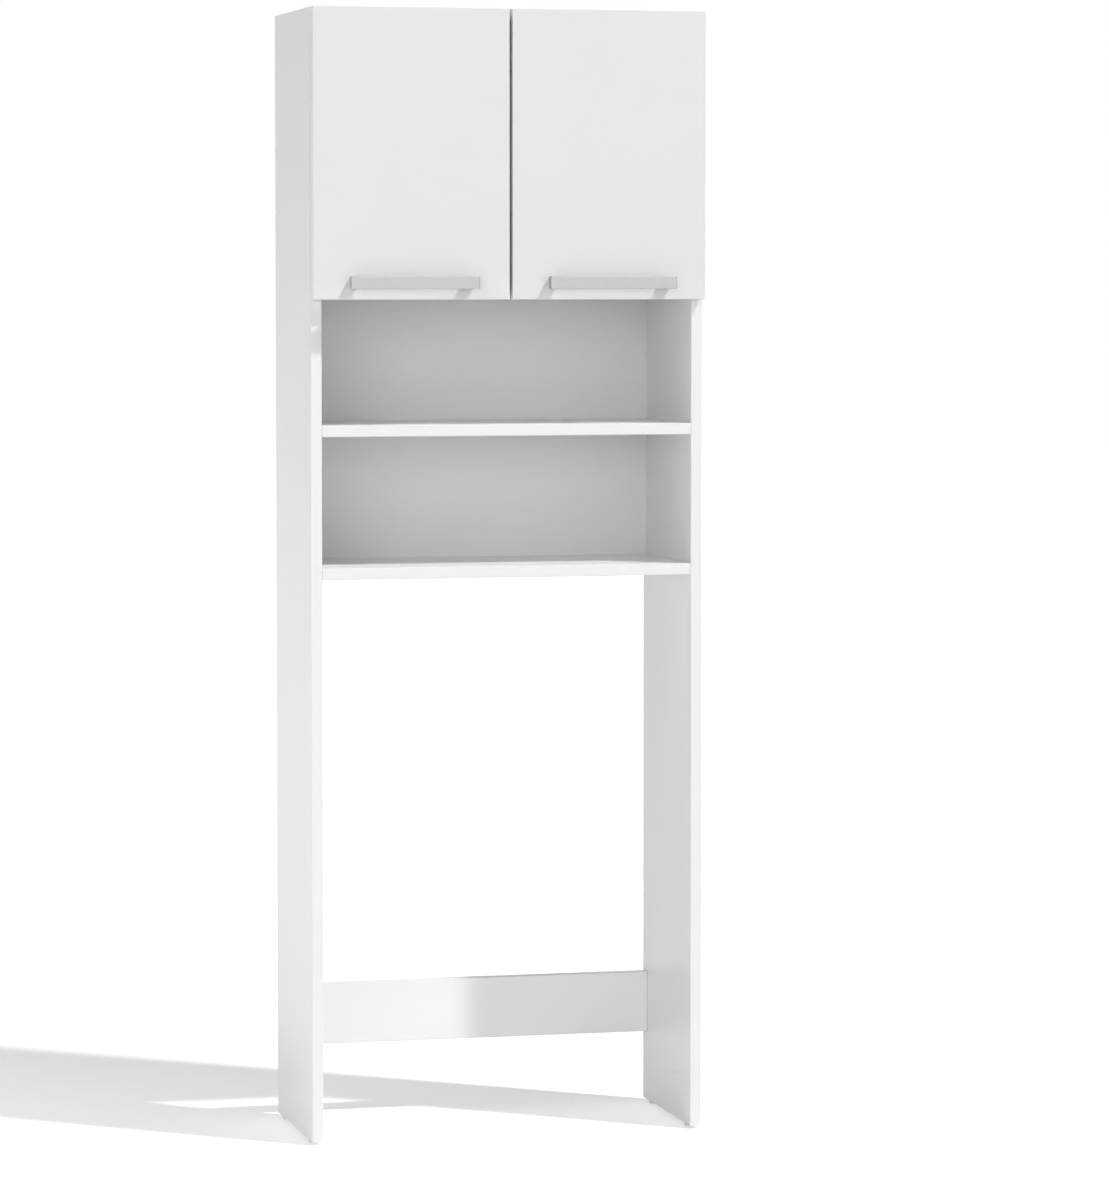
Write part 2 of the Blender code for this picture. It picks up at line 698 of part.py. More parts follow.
def door(label, side):
    """A slab door, with its cup holes, pilot holes and the holes for the handle's screws."""
    edges = sorted((side * DOOR_INNER_X, side * DOOR_OUTER_X))
    piece = board(
        f"{label}_door", (edges[0], DOOR_FRONT_Y, FLOOR_Z),
        (edges[1], DOOR_BACK_Y, FLOOR_Z + DOOR_HEIGHT), WHITE_DOOR,
    )
    start = DOOR_BACK_Y + OVERRUN
    holes = []
    for z in HINGE_HEIGHTS.values():
        x = cup_centre(side)
        holes.append((
            rod_in, (x, start, z), (x, DOOR_BACK_Y - CUP_DEPTH - SEAT, z),
            CUP_RADIUS + SEAT, FINE_SIDES,
        ))
        for x, screw_z in ear_screws(side, z):
            holes.append((
                rod_in, (x, start, screw_z), (x, DOOR_BACK_Y - CUP_SCREW_REACH - SEAT, screw_z),
                CUP_SCREW_RADIUS + SEAT, COARSE_SIDES,
            ))
    for step in (-1, 1):
        x = handle_centre(side) + step * LEG_OFFSET
        holes.append((
            rod_in, (x, start, HANDLE_Z), (x, DOOR_FRONT_Y - OVERRUN, HANDLE_Z),
            HANDLE_SCREW_RADIUS + SEAT, COARSE_SIDES,
        ))
    cut(piece, "holes", *holes)
    return piece


def handle(label, side):
    """A flat bar on two legs, drawn from above and extruded, with a blind hole up each leg."""
    half, root = HANDLE_LENGTH / 2, DOOR_FRONT_Y - SEAT
    face, inside = DOOR_FRONT_Y - HANDLE_REACH, DOOR_FRONT_Y - HANDLE_REACH + HANDLE_BAR
    corner, quarter = HANDLE_CORNER, math.pi / 2
    points = [
        (-half, root),
        *arc((-half + corner, face + corner), corner, 2 * quarter, 3 * quarter, CAP_STEPS),
        *arc((half - corner, face + corner), corner, 3 * quarter, 4 * quarter, CAP_STEPS),
        (half, root), (half - HANDLE_LEG, root), (half - HANDLE_LEG, inside),
        (-half + HANDLE_LEG, inside), (-half + HANDLE_LEG, root),
    ]
    mesh = outline_mesh(f"{label}_handle", [points], HANDLE_HEIGHT)
    x = handle_centre(side)
    piece = keep(f"{label}_handle", mesh, SATIN_METAL, Matrix.Translation((x, 0, HANDLE_Z)))
    ease(piece, HANDLE_EASE)
    cut(piece, "screw_holes", *[
        (rod_in, (x + step * LEG_OFFSET, root + OVERRUN, HANDLE_Z),
         (x + step * LEG_OFFSET, DOOR_FRONT_Y - HANDLE_SCREW_REACH - SEAT, HANDLE_Z),
         HANDLE_SCREW_RADIUS + SEAT, COARSE_SIDES)
        for step in (-1, 1)
    ])
    return piece


def handle_screw(label, side, end, step):
    """A screw through the door into a handle's leg, with a cross recess in its head."""
    head, reach = HANDLE_HEAD, DOOR_THICKNESS + HANDLE_SCREW_REACH
    crown = HANDLE_HEAD_RADIUS * math.cos(math.pi / 4)
    profile = [
        (0, head), (crown, head), (HANDLE_HEAD_RADIUS, head / 2), (HANDLE_HEAD_RADIUS, SEAT),
        (HANDLE_SCREW_RADIUS, SEAT), (HANDLE_SCREW_RADIUS, -reach + HANDLE_SCREW_RADIUS),
        (HANDLE_SCREW_RADIUS / 2, -reach), (0, -reach),
    ]
    x = handle_centre(side) + step * LEG_OFFSET
    place = axis_placing((x, DOOR_BACK_Y, HANDLE_Z), (0, 1, 0))
    piece = turned(f"{label}_handle_{end}_screw", profile, PLATED_STEEL, place, MIDDLE_SIDES)
    bottom, top = DOOR_BACK_Y + head - RECESS_DEPTH, DOOR_BACK_Y + head + OVERRUN
    for name, across, high in (("slot", RECESS_LENGTH, RECESS_WIDTH), ("cross", RECESS_WIDTH, RECESS_LENGTH)):
        cut(piece, name, (
            box_in, (x - across / 2, bottom, HANDLE_Z - high / 2), (x + across / 2, top, HANDLE_Z + high / 2),
        ))
    return piece


def bumper(label, side):
    """A small soft pad on the door's back, which meets the front edge of the cupboard floor."""
    height = DOOR_AIR - SEAT
    profile = [
        (0, height), (BUMPER_RADIUS / 2, height), (BUMPER_RADIUS, height / 2),
        (BUMPER_RADIUS, SEAT), (0, SEAT),
    ]
    x = side * (DOOR_INNER_X + BUMPER_INSET)
    place = axis_placing((x, DOOR_BACK_Y, FLOOR_Z + BOARD / 2), (0, 1, 0))
    return turned(f"{label}_door_bumper", profile, CLEAR_RUBBER, place, MIDDLE_SIDES)


# Concealed hinges: a four-bar linkage between an arm on the side panel and a cup in the door


def hinge_place(side, inwards, outwards):
    """World x and y of a point of a hinge, from the side panel's inner face and the door's back."""
    return side * (INNER_HALF - inwards), DOOR_BACK_Y - outwards


def hinge_outline(side, points):
    """Outline points of a hinge piece, taken from its own measures to world x and y."""
    return [hinge_place(side, inwards, outwards) for inwards, outwards in points]


def bent_link(start, bend, end):
    """The outline of a bent strap. Its middle line is a quadratic curve, and it swells to round eyes."""
    start, bend, end = Vector(start), Vector(bend), Vector(end)
    left, right = [], []
    for i in range(BEND_STEPS + 1):
        t = i / BEND_STEPS
        point = start * (1 - t) ** 2 + bend * (2 * t * (1 - t)) + end * t ** 2
        way = ((bend - start) * (1 - t) + (end - bend) * t).normalized()
        half = LINK_EYE + (LINK_WAIST - LINK_EYE) * math.sin(math.pi * t)
        side = Vector((-way.y, way.x)) * half
        left.append(point + side)
        right.append(point - side)
    last = math.atan2((left[-1] - end).y, (left[-1] - end).x)
    first = math.atan2((right[0] - start).y, (right[0] - start).x)
    return [
        *left, *arc(end, LINK_EYE, last, last - math.pi, CAP_STEPS)[1:-1],
        *reversed(right), *arc(start, LINK_EYE, first, first - math.pi, CAP_STEPS)[1:-1],
    ]


def hinge_link(name, side, height, start, bend, end, low):
    """One link, a flat strap with an eye at each end, between two heights over the hinge's middle."""
    hole = LINK_PIN_RADIUS + LINK_PIN_AIR
    loops = [
        hinge_outline(side, bent_link(start, bend, end)),
        hinge_outline(side, circle(start, hole, COARSE_SIDES)),
        hinge_outline(side, circle(end, hole, COARSE_SIDES)),
    ]
    mesh = outline_mesh(name, loops, LINK_THICKNESS)
    middle = height + low + LINK_THICKNESS / 2
    return keep(name, mesh, PLATED_STEEL, Matrix.Translation((0, 0, middle)))


def hinge_arm(name, side, height):
    """The arm: a channel of folded steel, open towards the side panel, with the pins of both links."""
    tail = FRONT_Y - DOOR_BACK_Y + ARM_LENGTH
    outer, inner = (OUTER_ARM_IN, OUTER_ARM_OUT), (INNER_ARM_IN, INNER_ARM_OUT)
    slope = math.atan2(inner[1] - outer[1], inner[0] - outer[0])
    points = [
        (ARM_UNDERSIDE_IN, -tail), (ARM_TOP_IN, -tail), (ARM_TOP_IN, inner[1] - ARM_EYE),
        *arc(inner, ARM_EYE, 0, slope + math.pi / 2, CAP_STEPS),
        *arc(outer, ARM_EYE, slope + math.pi / 2, math.pi, CAP_STEPS),
        (outer[0] - ARM_EYE, outer[1] - ARM_EYE), (ARM_UNDERSIDE_IN, outer[1] - ARM_NECK),
    ]
    mesh = outline_mesh(name, [hinge_outline(side, points)], CHEEK_OUT * 2)
    piece = keep(name, mesh, PLATED_STEEL, Matrix.Translation((0, 0, height)))
    web_x, tail_y = hinge_place(side, ARM_TOP_IN - ARM_WEB, -tail - OVERRUN)
    web_end_y = hinge_place(side, 0, inner[1] - ARM_WEB_SETBACK)[1]
    beyond_x, nose_y = hinge_place(side, ARM_TOP_IN + OVERRUN, inner[1] + ARM_EYE + OVERRUN)
    under_x = side * INNER_HALF
    low_z, high_z = height - CHEEK_IN, height + CHEEK_IN
    xs = sorted((under_x, web_x))
    cut(piece, "channel", (box_in, (xs[0], nose_y, low_z), (xs[1], tail_y, high_z)))
    xs = sorted((under_x, beyond_x))
    cut(piece, "open_nose", (box_in, (xs[0], nose_y, low_z), (xs[1], web_end_y, high_z)))
    pins = []
    for inwards, outwards in (outer, inner):
        x, y = hinge_place(side, inwards, outwards)
        over = ARM_CHEEK / 2
        pins.append((
            rod_in, (x, y, height - CHEEK_OUT + over), (x, y, height + CHEEK_OUT - over),
            LINK_PIN_RADIUS, COARSE_SIDES,
        ))
    join(piece, "pins", *pins)
    holes = []
    for y in arm_screw_places():
        top_x = hinge_place(side, ARM_TOP_IN + OVERRUN, 0)[0]
        low_x = hinge_place(side, ARM_TOP_IN - ARM_WEB - OVERRUN, 0)[0]
        holes.append((rod_in, (low_x, y, height), (top_x, y, height), ARM_SCREW_RADIUS + SEAT, COARSE_SIDES))
    cut(piece, "screw_slots", *holes)
    return piece


def arm_screw_places():
    """Where the two screws pass through the arm's web, along Y."""
    middle = FRONT_Y + PLATE_SETBACK
    return middle - ARM_SCREW_AHEAD, middle + ARM_SCREW_AHEAD


def hinge_plate(name, side, height):
    """The mounting plate: two screwed wings, the bed inside the arm, and the two arm screws."""
    middle_y = FRONT_Y + PLATE_SETBACK
    wing = rounded_rectangle(
        (middle_y - WING_WIDTH / 2, height - WING_SPAN / 2),
        (middle_y + WING_WIDTH / 2, height + WING_SPAN / 2), WING_WIDTH / 2 - SEAT,
    )
    mesh = outline_mesh(name, [wing], PLATE_THICKNESS)
    wing_x = side * (INNER_HALF - SEAT - PLATE_THICKNESS / 2)
    # local X and Y of the outline become Y and Z, and its thickness runs along X
    placing = Matrix.Translation((wing_x, 0, 0)) @ Matrix(
        ((0, 0, 1, 0), (1, 0, 0, 0), (0, 1, 0, 0), (0, 0, 0, 1))
    )
    piece = keep(name, mesh, PLATED_STEEL, placing)
    foot_x = side * (INNER_HALF - SEAT)
    bed_x = side * (INNER_HALF - PLATE_BED_IN)
    xs = sorted((foot_x, bed_x))
    join(piece, "bed", (
        box_in, (xs[0], middle_y - PLATE_LENGTH / 2, height - PLATE_WIDTH / 2 + SEAT),
        (xs[1], middle_y + PLATE_LENGTH / 2, height + PLATE_WIDTH / 2 - SEAT),
    ))
    top_x = side * (INNER_HALF - ARM_TOP_IN - SEAT)
    inner_x = side * (INNER_HALF - ARM_TOP_IN - SEAT - SCREW_HEAD)
    join(piece, "arm_screws", *[
        (rod_in, (bed_x + side * SCREW_HEAD, y, height), (top_x, y, height), ARM_SCREW_RADIUS, COARSE_SIDES)
        for y in arm_screw_places()
    ])
    join(piece, "arm_screw_heads", *[
        (rod_in, (top_x, y, height), (inner_x, y, height), SCREW_HEAD_RADIUS, MIDDLE_SIDES)
        for y in arm_screw_places()
    ])
    wing_top = side * (INNER_HALF - SEAT - PLATE_THICKNESS)
    screw_end = side * (INNER_HALF + EURO_SCREW_REACH)
    head_x = side * (INNER_HALF - SEAT - PLATE_THICKNESS - SCREW_HEAD)
    screws, heads = [], []
    for step in (-1, 1):
        z = height + step * WING_SCREW_SPACING / 2
        screws.append((rod_in, (wing_top, middle_y, z), (screw_end, middle_y, z), EURO_SCREW_RADIUS, COARSE_SIDES))
        heads.append((
            rod_in, (wing_top + side * PLATE_THICKNESS / 2, middle_y, z), (head_x, middle_y, z),
            SCREW_HEAD_RADIUS, MIDDLE_SIDES, SCREW_HEAD_RADIUS - SCREW_HEAD / 2,
        ))
    join(piece, "wing_screws", *screws)
    join(piece, "wing_screw_heads", *heads)
    return piece


def cup_ear():
    """One ear's outline, inwards from the cup's middle and along the door. It starts on the cup's wall."""
    near, far = EAR_OFFSET - EAR_WIDTH / 2, EAR_OFFSET + EAR_WIDTH / 2
    end = EAR_SPACING / 2 + EAR_END
    quarter = math.pi / 2
    return [
        *arc((0, 0), CUP_RADIUS, math.acos(near / CUP_RADIUS), math.acos(far / CUP_RADIUS), CAP_STEPS),
        *arc((far - EAR_CORNER, end - EAR_CORNER), EAR_CORNER, 0, quarter, CAP_STEPS),
        *arc((near + EAR_CORNER, end - EAR_CORNER), EAR_CORNER, quarter, 2 * quarter, CAP_STEPS),
    ]


def hinge_cup(name, side, height):
    """The cup let into the door: a turned pot with a rim, two screwed ears and the outer link's pin."""
    bore = CUP_RADIUS - CUP_WALL
    rim_top, rim_foot = SEAT + CUP_RIM, SEAT
    profile = [
        (0, -CUP_DEPTH + CUP_WALL), (bore, -CUP_DEPTH + CUP_WALL), (bore, rim_top),
        (CUP_RIM_RADIUS, rim_top), (CUP_RIM_RADIUS, rim_foot), (CUP_RADIUS, rim_foot),
        (CUP_RADIUS, -CUP_DEPTH), (0, -CUP_DEPTH),
    ]
    x = cup_centre(side)
    piece = turned(name, profile, PLATED_STEEL, axis_placing((x, DOOR_BACK_Y, height), (0, 1, 0)), FINE_SIDES)
    ears = [
        [(x - side * inwards, height + step * along) for inwards, along in cup_ear()]
        for step in (-1, 1)
    ]
    mesh = outline_mesh(f"{name}_ears", ears, CUP_RIM - EAR_INSET * 2)
    # local X and Y of the outline become X and Z, and its thickness runs along Y
    placing = Matrix.Translation((0, DOOR_BACK_Y + (rim_foot + rim_top) / 2, 0)) @ Matrix(
        ((1, 0, 0, 0), (0, 0, -1, 0), (0, 1, 0, 0), (0, 0, 0, 1))
    )
    boolean(piece, "UNION", hidden_tool(f"{name}_ears", mesh, placing))
    pin_x, pin_y = hinge_place(side, OUTER_CUP_IN, OUTER_CUP_OUT)
    reach = math.sqrt(CUP_RADIUS ** 2 - (abs(pin_x - x) + LINK_PIN_RADIUS) ** 2)
    join(piece, "pin", (
        rod_in, (pin_x, pin_y, height - reach), (pin_x, pin_y, height + reach),
        LINK_PIN_RADIUS, COARSE_SIDES,
    ))
    screws, heads = [], []
    for screw_x, z in ear_screws(side, height):
        middle = DOOR_BACK_Y + (rim_foot + rim_top) / 2
        screws.append((
            rod_in, (screw_x, middle, z), (screw_x, DOOR_BACK_Y - CUP_SCREW_REACH, z),
            CUP_SCREW_RADIUS, COARSE_SIDES, CUP_SCREW_RADIUS / 2,
        ))
        heads.append((
            rod_in, (screw_x, middle, z), (screw_x, DOOR_BACK_Y + rim_top + SCREW_HEAD / 2, z),
            SCREW_HEAD_RADIUS, MIDDLE_SIDES, SCREW_HEAD_RADIUS - SCREW_HEAD / 2,
        ))
    join(piece, "ear_screws", *screws)
    join(piece, "ear_screw_heads", *heads)
    return piece


def hung_door(label, side):
    """A door with its handle and cups, the links it hangs on, and the arms and plates they turn on."""
    outer, inner = (OUTER_ARM_IN, OUTER_ARM_OUT), (INNER_ARM_IN, INNER_ARM_OUT)
    outer_cup, inner_cup = (OUTER_CUP_IN, OUTER_CUP_OUT), (INNER_CUP_IN, INNER_CUP_OUT)
    outer_axis = pivot_point(f"{label}_outer_link_axis", *hinge_place(side, *outer))
    inner_axis = pivot_point(f"{label}_inner_link_axis", *hinge_place(side, *inner))
    door_axis = pivot_point(f"{label}_door_axis", *hinge_place(side, *outer_cup))
    hang(door(label, side), door_axis)
    hang(handle(label, side), door_axis)
    hang(bumper(label, side), door_axis)
    for end, step in (("left", -1), ("right", 1)):
        hang(handle_screw(label, side, end, step), door_axis)
    for level, height in HINGE_HEIGHTS.items():
        stem = f"{label}_{level}_hinge"
        hang(hinge_cup(f"{stem}_cup", side, height), door_axis)
        hang(hinge_link(
            f"{stem}_outer_link", side, height, outer,
            (OUTER_BEND_IN, OUTER_BEND_OUT), outer_cup, LINK_AIR,
        ), outer_axis)
        hang(hinge_link(
            f"{stem}_inner_link", side, height, inner,
            (INNER_BEND_IN, INNER_BEND_OUT), inner_cup, -LINK_TOP,
        ), inner_axis)
        hinge_arm(f"{stem}_arm", side, height)
        hinge_plate(f"{stem}_plate", side, height)
    door_axis.parent = outer_axis
    door_axis.matrix_parent_inverse = outer_axis.matrix_world.inverted()


# The whole cabinet

for label, side in SIDES.items():
    side_panel(label, side)
    wall_angle(label, side)
    for end, y in ENDS.items():
        glide(label, side, end, y)
    for end, y in PIN_PLACES.items():
        shelf_pin(label, side, end, y)
for kind in FIXED_BOARDS:
    fixed_board(kind)
    for label, side in SIDES.items():
        cam_fitting(kind, label, side)
back_panel()
inner_shelf()
for label, side in SIDES.items():
    hung_door(label, side)

pieces = [piece for piece in PARTS.objects if piece.type == "MESH"]
print(len(pieces), "pieces")
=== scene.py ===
# %% [markdown]
# # A tall white cabinet with an open bay
#
# Two full-height side panels carry two open niches and, above them, a cupboard with two doors. This
# file dresses the measured frame of that cabinet: it keeps the boards where they are, gives every
# surface its finish, and makes the fine metal and plastic pieces again with more faces. Each step has
# a short text first, then the code.

# %% Load the frame
import math

import bmesh
import bpy
import numpy as np
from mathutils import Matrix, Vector
from mathutils.geometry import tessellate_polygon


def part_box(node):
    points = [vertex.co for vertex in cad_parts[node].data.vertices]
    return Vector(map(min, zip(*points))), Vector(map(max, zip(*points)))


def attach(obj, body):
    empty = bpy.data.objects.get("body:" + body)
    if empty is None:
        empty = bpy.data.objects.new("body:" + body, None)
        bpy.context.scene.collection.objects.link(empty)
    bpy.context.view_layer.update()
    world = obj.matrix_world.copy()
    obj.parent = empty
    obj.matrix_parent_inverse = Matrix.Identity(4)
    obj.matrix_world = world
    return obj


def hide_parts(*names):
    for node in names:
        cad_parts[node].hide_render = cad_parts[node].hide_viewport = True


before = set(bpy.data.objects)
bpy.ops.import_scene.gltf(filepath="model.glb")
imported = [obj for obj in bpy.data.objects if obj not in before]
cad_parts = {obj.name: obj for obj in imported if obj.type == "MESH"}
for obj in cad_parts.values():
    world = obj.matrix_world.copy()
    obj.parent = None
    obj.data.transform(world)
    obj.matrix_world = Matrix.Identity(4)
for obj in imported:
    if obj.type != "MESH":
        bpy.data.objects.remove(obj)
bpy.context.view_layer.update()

# %% [markdown]
# ## The sizes that everything hangs on
#
# Nothing is measured twice. The frame already knows where each board lies, so the planes that the new
# pieces sit on are read from its boxes. Only the small sizes of the ironmongery are written down, most
# of them in millimetres.

# %% Planes read from the frame
side_low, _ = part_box("right_side_panel")
_, door_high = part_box("right_door")
inner_half = side_low.x
panel_front = side_low.y
door_back = door_high.y
print("side panel's inner face", round(inner_half, 4), "door's back", round(door_back, 5))

# %% [markdown]
# ## From a grid of points to a mesh
#
# Most ironmongery is one of two shapes. A turned piece, such as a screw head or a hinge cup, is a
# profile taken once round an axis. A stamped piece, such as a hinge link, is a flat outline with
# thickness and a softened rim. Both are grids of points: one number runs along the profile and the
# other round the piece, so numpy works out all the points at once and no loop visits them. This step
# only joins a grid's points by faces and makes a piece of them. The shapes come with the first pieces
# that need them.

# %% Faces of a grid
def grid_faces(rows, columns, first=0):
    """Quads between neighbours of a grid whose columns close in a ring.

    The point in row r and column c has the number first + r * columns + c.
    """
    row, column = np.meshgrid(np.arange(rows - 1), np.arange(columns), indexing="ij")
    following = (column + 1) % columns
    corners = (row * columns + column, row * columns + following,
               (row + 1) * columns + following, (row + 1) * columns + column)
    return (np.stack(corners, axis=-1).reshape(-1, 4) + first).tolist()


print("three rings of eight points have", len(grid_faces(3, 8)), "faces")

# %% A finished piece
SAME_PLACE, NO_LENGTH = 1e-6, 1e-7


def piece(name, points, faces, material, slot, body, replaces=(), sharp=35):
    """A finished piece: doubles merged, faces turned outwards, smooth but for edges over an angle."""
    mesh = bpy.data.meshes.new(name)
    mesh.from_pydata(np.asarray(points, float).tolist(), [], faces)
    shape = bmesh.new()
    shape.from_mesh(mesh)
    bmesh.ops.remove_doubles(shape, verts=shape.verts, dist=SAME_PLACE)
    bmesh.ops.dissolve_degenerate(shape, edges=shape.edges, dist=NO_LENGTH)
    bmesh.ops.recalc_face_normals(shape, faces=shape.faces)
    shape.to_mesh(mesh)
    shape.free()
    mesh.shade_smooth()
    mesh.set_sharp_from_angle(angle=math.radians(sharp))
    mesh.materials.append(material)
    made = bpy.data.objects.new(name, mesh)
    bpy.context.scene.collection.objects.link(made)
    flat = made.modifiers.new("flat_faces_stay_flat", "WEIGHTED_NORMAL")
    flat.keep_sharp = True
    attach(made, body)
    if replaces:
        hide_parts(*replaces)
    return made


print("points closer than", SAME_PLACE * 1e6, "micrometre become one")

# %% [markdown]
# ## Effects that several finishes share
#
# Laminate, paper foil and plated steel are never one flat value. Three small effects cover them all:
# a fine pebbled skin with a slow drift of tone, the glued band round a board's edges with the hairline
# where it meets the face, and the lines that brushing or rolling leaves in metal. Each is a node group
# with named inputs, built once, so a finish only states its own sizes.

# %% Node helpers
def node(tree, kind, inputs=None, **settings):
    """A node with its settings, and inputs that are values or links from other nodes.

    The settings come first, because a Group node has no inputs until it is told its group.
    """
    made = tree.nodes.new("ShaderNode" + kind)
    for name, value in settings.items():
        setattr(made, name, value)
    for name, source in (inputs or {}).items():
        if isinstance(source, bpy.types.NodeSocket):
            tree.links.new(source, made.inputs[name])
        else:
            made.inputs[name].default_value = source
    return made


def effect(name, inputs, outputs):
    """An empty node group with named sockets, and its inner input and output nodes."""
    tree = bpy.data.node_groups.new(name, "ShaderNodeTree")
    for label, kind in inputs.items():
        tree.interface.new_socket(label, in_out="INPUT", socket_type="NodeSocket" + kind)
    for label in outputs:
        tree.interface.new_socket(label, in_out="OUTPUT", socket_type="NodeSocketFloat")
    return tree, tree.nodes.new("NodeGroupInput").outputs, tree.nodes.new("NodeGroupOutput").inputs


def maths(tree, operation, first, second):
    """The output of a Math node on two values or sockets."""
    return node(tree, "Math", {0: first, 1: second}, operation=operation).outputs[0]


print("node tools ready")

# %% The pebbled skin
skin, put_in, put_out = effect(
    "pebbled skin", {"Place": "Vector", "Pebbles per metre": "Float", "Drift per metre": "Float"},
    ("Relief", "Drift"),
)
pebbles = node(skin, "TexNoise", {
    "Vector": put_in["Place"], "Scale": put_in["Pebbles per metre"], "Detail": 2.0, "Roughness": 0.55,
})
drift = node(skin, "TexNoise", {
    "Vector": put_in["Place"], "Scale": put_in["Drift per metre"], "Detail": 3.0, "Roughness": 0.5,
})
skin.links.new(pebbles.outputs[0], put_out["Relief"])
skin.links.new(drift.outputs[0], put_out["Drift"])
print("effect", skin.name)

# %% The edge band
# The distance to the nearest banded plane says all: within the band's thickness a point is on the
# band, and right at that depth it is on the hairline.
banding, put_in, put_out = effect(
    "edge band", {"Place": "Vector", "Low": "Vector", "High": "Vector", "Thickness": "Float",
                  "Hairline": "Float"}, ("Line", "Band"),
)
above = node(banding, "VectorMath", {0: put_in["Place"], 1: put_in["Low"]}, operation="SUBTRACT")
below = node(banding, "VectorMath", {0: put_in["High"], 1: put_in["Place"]}, operation="SUBTRACT")
nearer = node(banding, "VectorMath", {0: above.outputs[0], 1: below.outputs[0]}, operation="MINIMUM")
per_axis = node(banding, "SeparateXYZ", {0: nearer.outputs[0]}).outputs
nearest = maths(banding, "MINIMUM", per_axis[0], per_axis[1])
nearest = maths(banding, "MINIMUM", nearest, per_axis[2])
past = maths(banding, "SUBTRACT", nearest, put_in["Thickness"])
share = maths(banding, "DIVIDE", maths(banding, "ABSOLUTE", past, 0.0), put_in["Hairline"])
line = node(banding, "Math", {0: 1.0, 1: share}, operation="SUBTRACT", use_clamp=True)
banding.links.new(line.outputs[0], put_out["Line"])
banding.links.new(maths(banding, "LESS_THAN", past, 0.0), put_out["Band"])
print("effect", banding.name)

# %% Brushed and rolled lines
brushing, put_in, put_out = effect(
    "brushed lines", {"Place": "Vector", "Squeeze": "Vector", "Clouds per metre": "Float"},
    ("Relief", "Clouds"),
)
squeezed = node(brushing, "VectorMath", {0: put_in["Place"], 1: put_in["Squeeze"]}, operation="MULTIPLY")
strokes = node(brushing, "TexNoise", {
    "Vector": squeezed.outputs[0], "Scale": 1.0, "Detail": 4.0, "Roughness": 0.6,
})
clouds = node(brushing, "TexNoise", {
    "Vector": put_in["Place"], "Scale": put_in["Clouds per metre"], "Detail": 2.0,
})
brushing.links.new(strokes.outputs[0], put_out["Relief"])
brushing.links.new(clouds.outputs[0], put_out["Clouds"])
print("effect", brushing.name)

# %% [markdown]
# ## White boards
#
# The carcass is particle board pressed with white melamine paper. Its skin is satin, with pebbles about
# half a millimetre apart, and its edges carry a glued band, which meets the face in a hairline a
# millimetre in. The doors are smoother, a little glossier and a shade greyer, but their band is the
# carcass's white. The thin back is the dullest. The band could be thin strips of its own, but the
# distance to the board's own sides draws it without touching the board's shape. One recipe makes all
# three; what changes is the colour, the gloss, the pebbles and which edges are banded.

# %% Whites, and the sizes of the edge band
BOARD_WHITE = (0.86, 0.86, 0.86)
DOOR_WHITE = (0.768, 0.768, 0.768)
BACK_WHITE = (0.815, 0.815, 0.815)
# The band's thickness and half the hairline's width are in metres. The hairline is as deep as so many
# reliefs of the skin. The drifts say how far colour and roughness stray either way.
BAND_THICKNESS = 0.0011
HAIRLINE = 0.00016
HAIRLINE_SHADE = 0.72
HAIRLINE_DEPTH = 1.5
WHITE_DRIFTS_PER_METRE = 3.0
WHITE_DRIFT = 0.012
WHITE_GLOSS_DRIFT = 0.03
print("edge band", BAND_THICKNESS * 1000, "mm thick")

# %% The board recipe
def mixed(tree, factor, first, second):
    """The output of a colour Mix node. A colour is three numbers or another node's output."""
    made = node(tree, "Mix", {"Factor": factor}, data_type="RGBA")
    for socket, colour in ((made.inputs[6], first), (made.inputs[7], second)):
        if isinstance(colour, bpy.types.NodeSocket):
            tree.links.new(colour, socket)
        else:
            socket.default_value = (*colour, 1)
    return made.outputs[2]


def white_finish(name, colour, gloss, pebbles_per_metre, relief, low, high, band=BOARD_WHITE):
    """A white board finish. Low and high are the planes of its banded edges, band is their colour.

    Gloss is the roughness in the middle of its drift, and relief is the height of the pebbles in metres.
    """
    material = bpy.data.materials.new(name)
    material.use_nodes = True
    tree = material.node_tree
    shader = tree.nodes["Principled BSDF"]
    place = node(tree, "TexCoord").outputs["Object"]
    grain = node(tree, "Group", {
        "Place": place, "Pebbles per metre": pebbles_per_metre,
        "Drift per metre": WHITE_DRIFTS_PER_METRE,
    }, node_tree=skin).outputs
    edge = node(tree, "Group", {
        "Place": place, "Low": low, "High": high, "Thickness": BAND_THICKNESS, "Hairline": HAIRLINE,
    }, node_tree=banding).outputs
    paler = [min(1.0, part * (1 + WHITE_DRIFT)) for part in colour]
    darker = [part * (1 - WHITE_DRIFT) for part in colour]
    face = mixed(tree, grain["Drift"], darker, paler)
    banded = mixed(tree, edge["Band"], face, band)
    seamed = mixed(tree, edge["Line"], banded, [part * HAIRLINE_SHADE for part in colour])
    tree.links.new(seamed, shader.inputs["Base Color"])
    dull = node(tree, "MapRange", {
        "Value": grain["Drift"],
        "To Min": gloss - WHITE_GLOSS_DRIFT, "To Max": gloss + WHITE_GLOSS_DRIFT,
    })
    tree.links.new(dull.outputs[0], shader.inputs["Roughness"])
    sunk = maths(tree, "MULTIPLY", edge["Line"], HAIRLINE_DEPTH)
    height = maths(tree, "SUBTRACT", grain["Relief"], sunk)
    bump = node(tree, "Bump", {"Height": height, "Strength": 1.0, "Distance": relief})
    tree.links.new(bump.outputs[0], shader.inputs["Normal"])
    return material


print("board recipe ready")

# %% Which edges are banded
FAR = 1.0


def banded_planes(name, banded):
    """A node's box, with the sides that have no band pushed far away."""
    low, high = (list(corner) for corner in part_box(name))
    for axis in range(3):
        low[axis] -= 0 if ("low", axis) in banded else FAR
        high[axis] += 0 if ("high", axis) in banded else FAR
    return low, high


print("sides without a band are pushed", FAR, "m away")

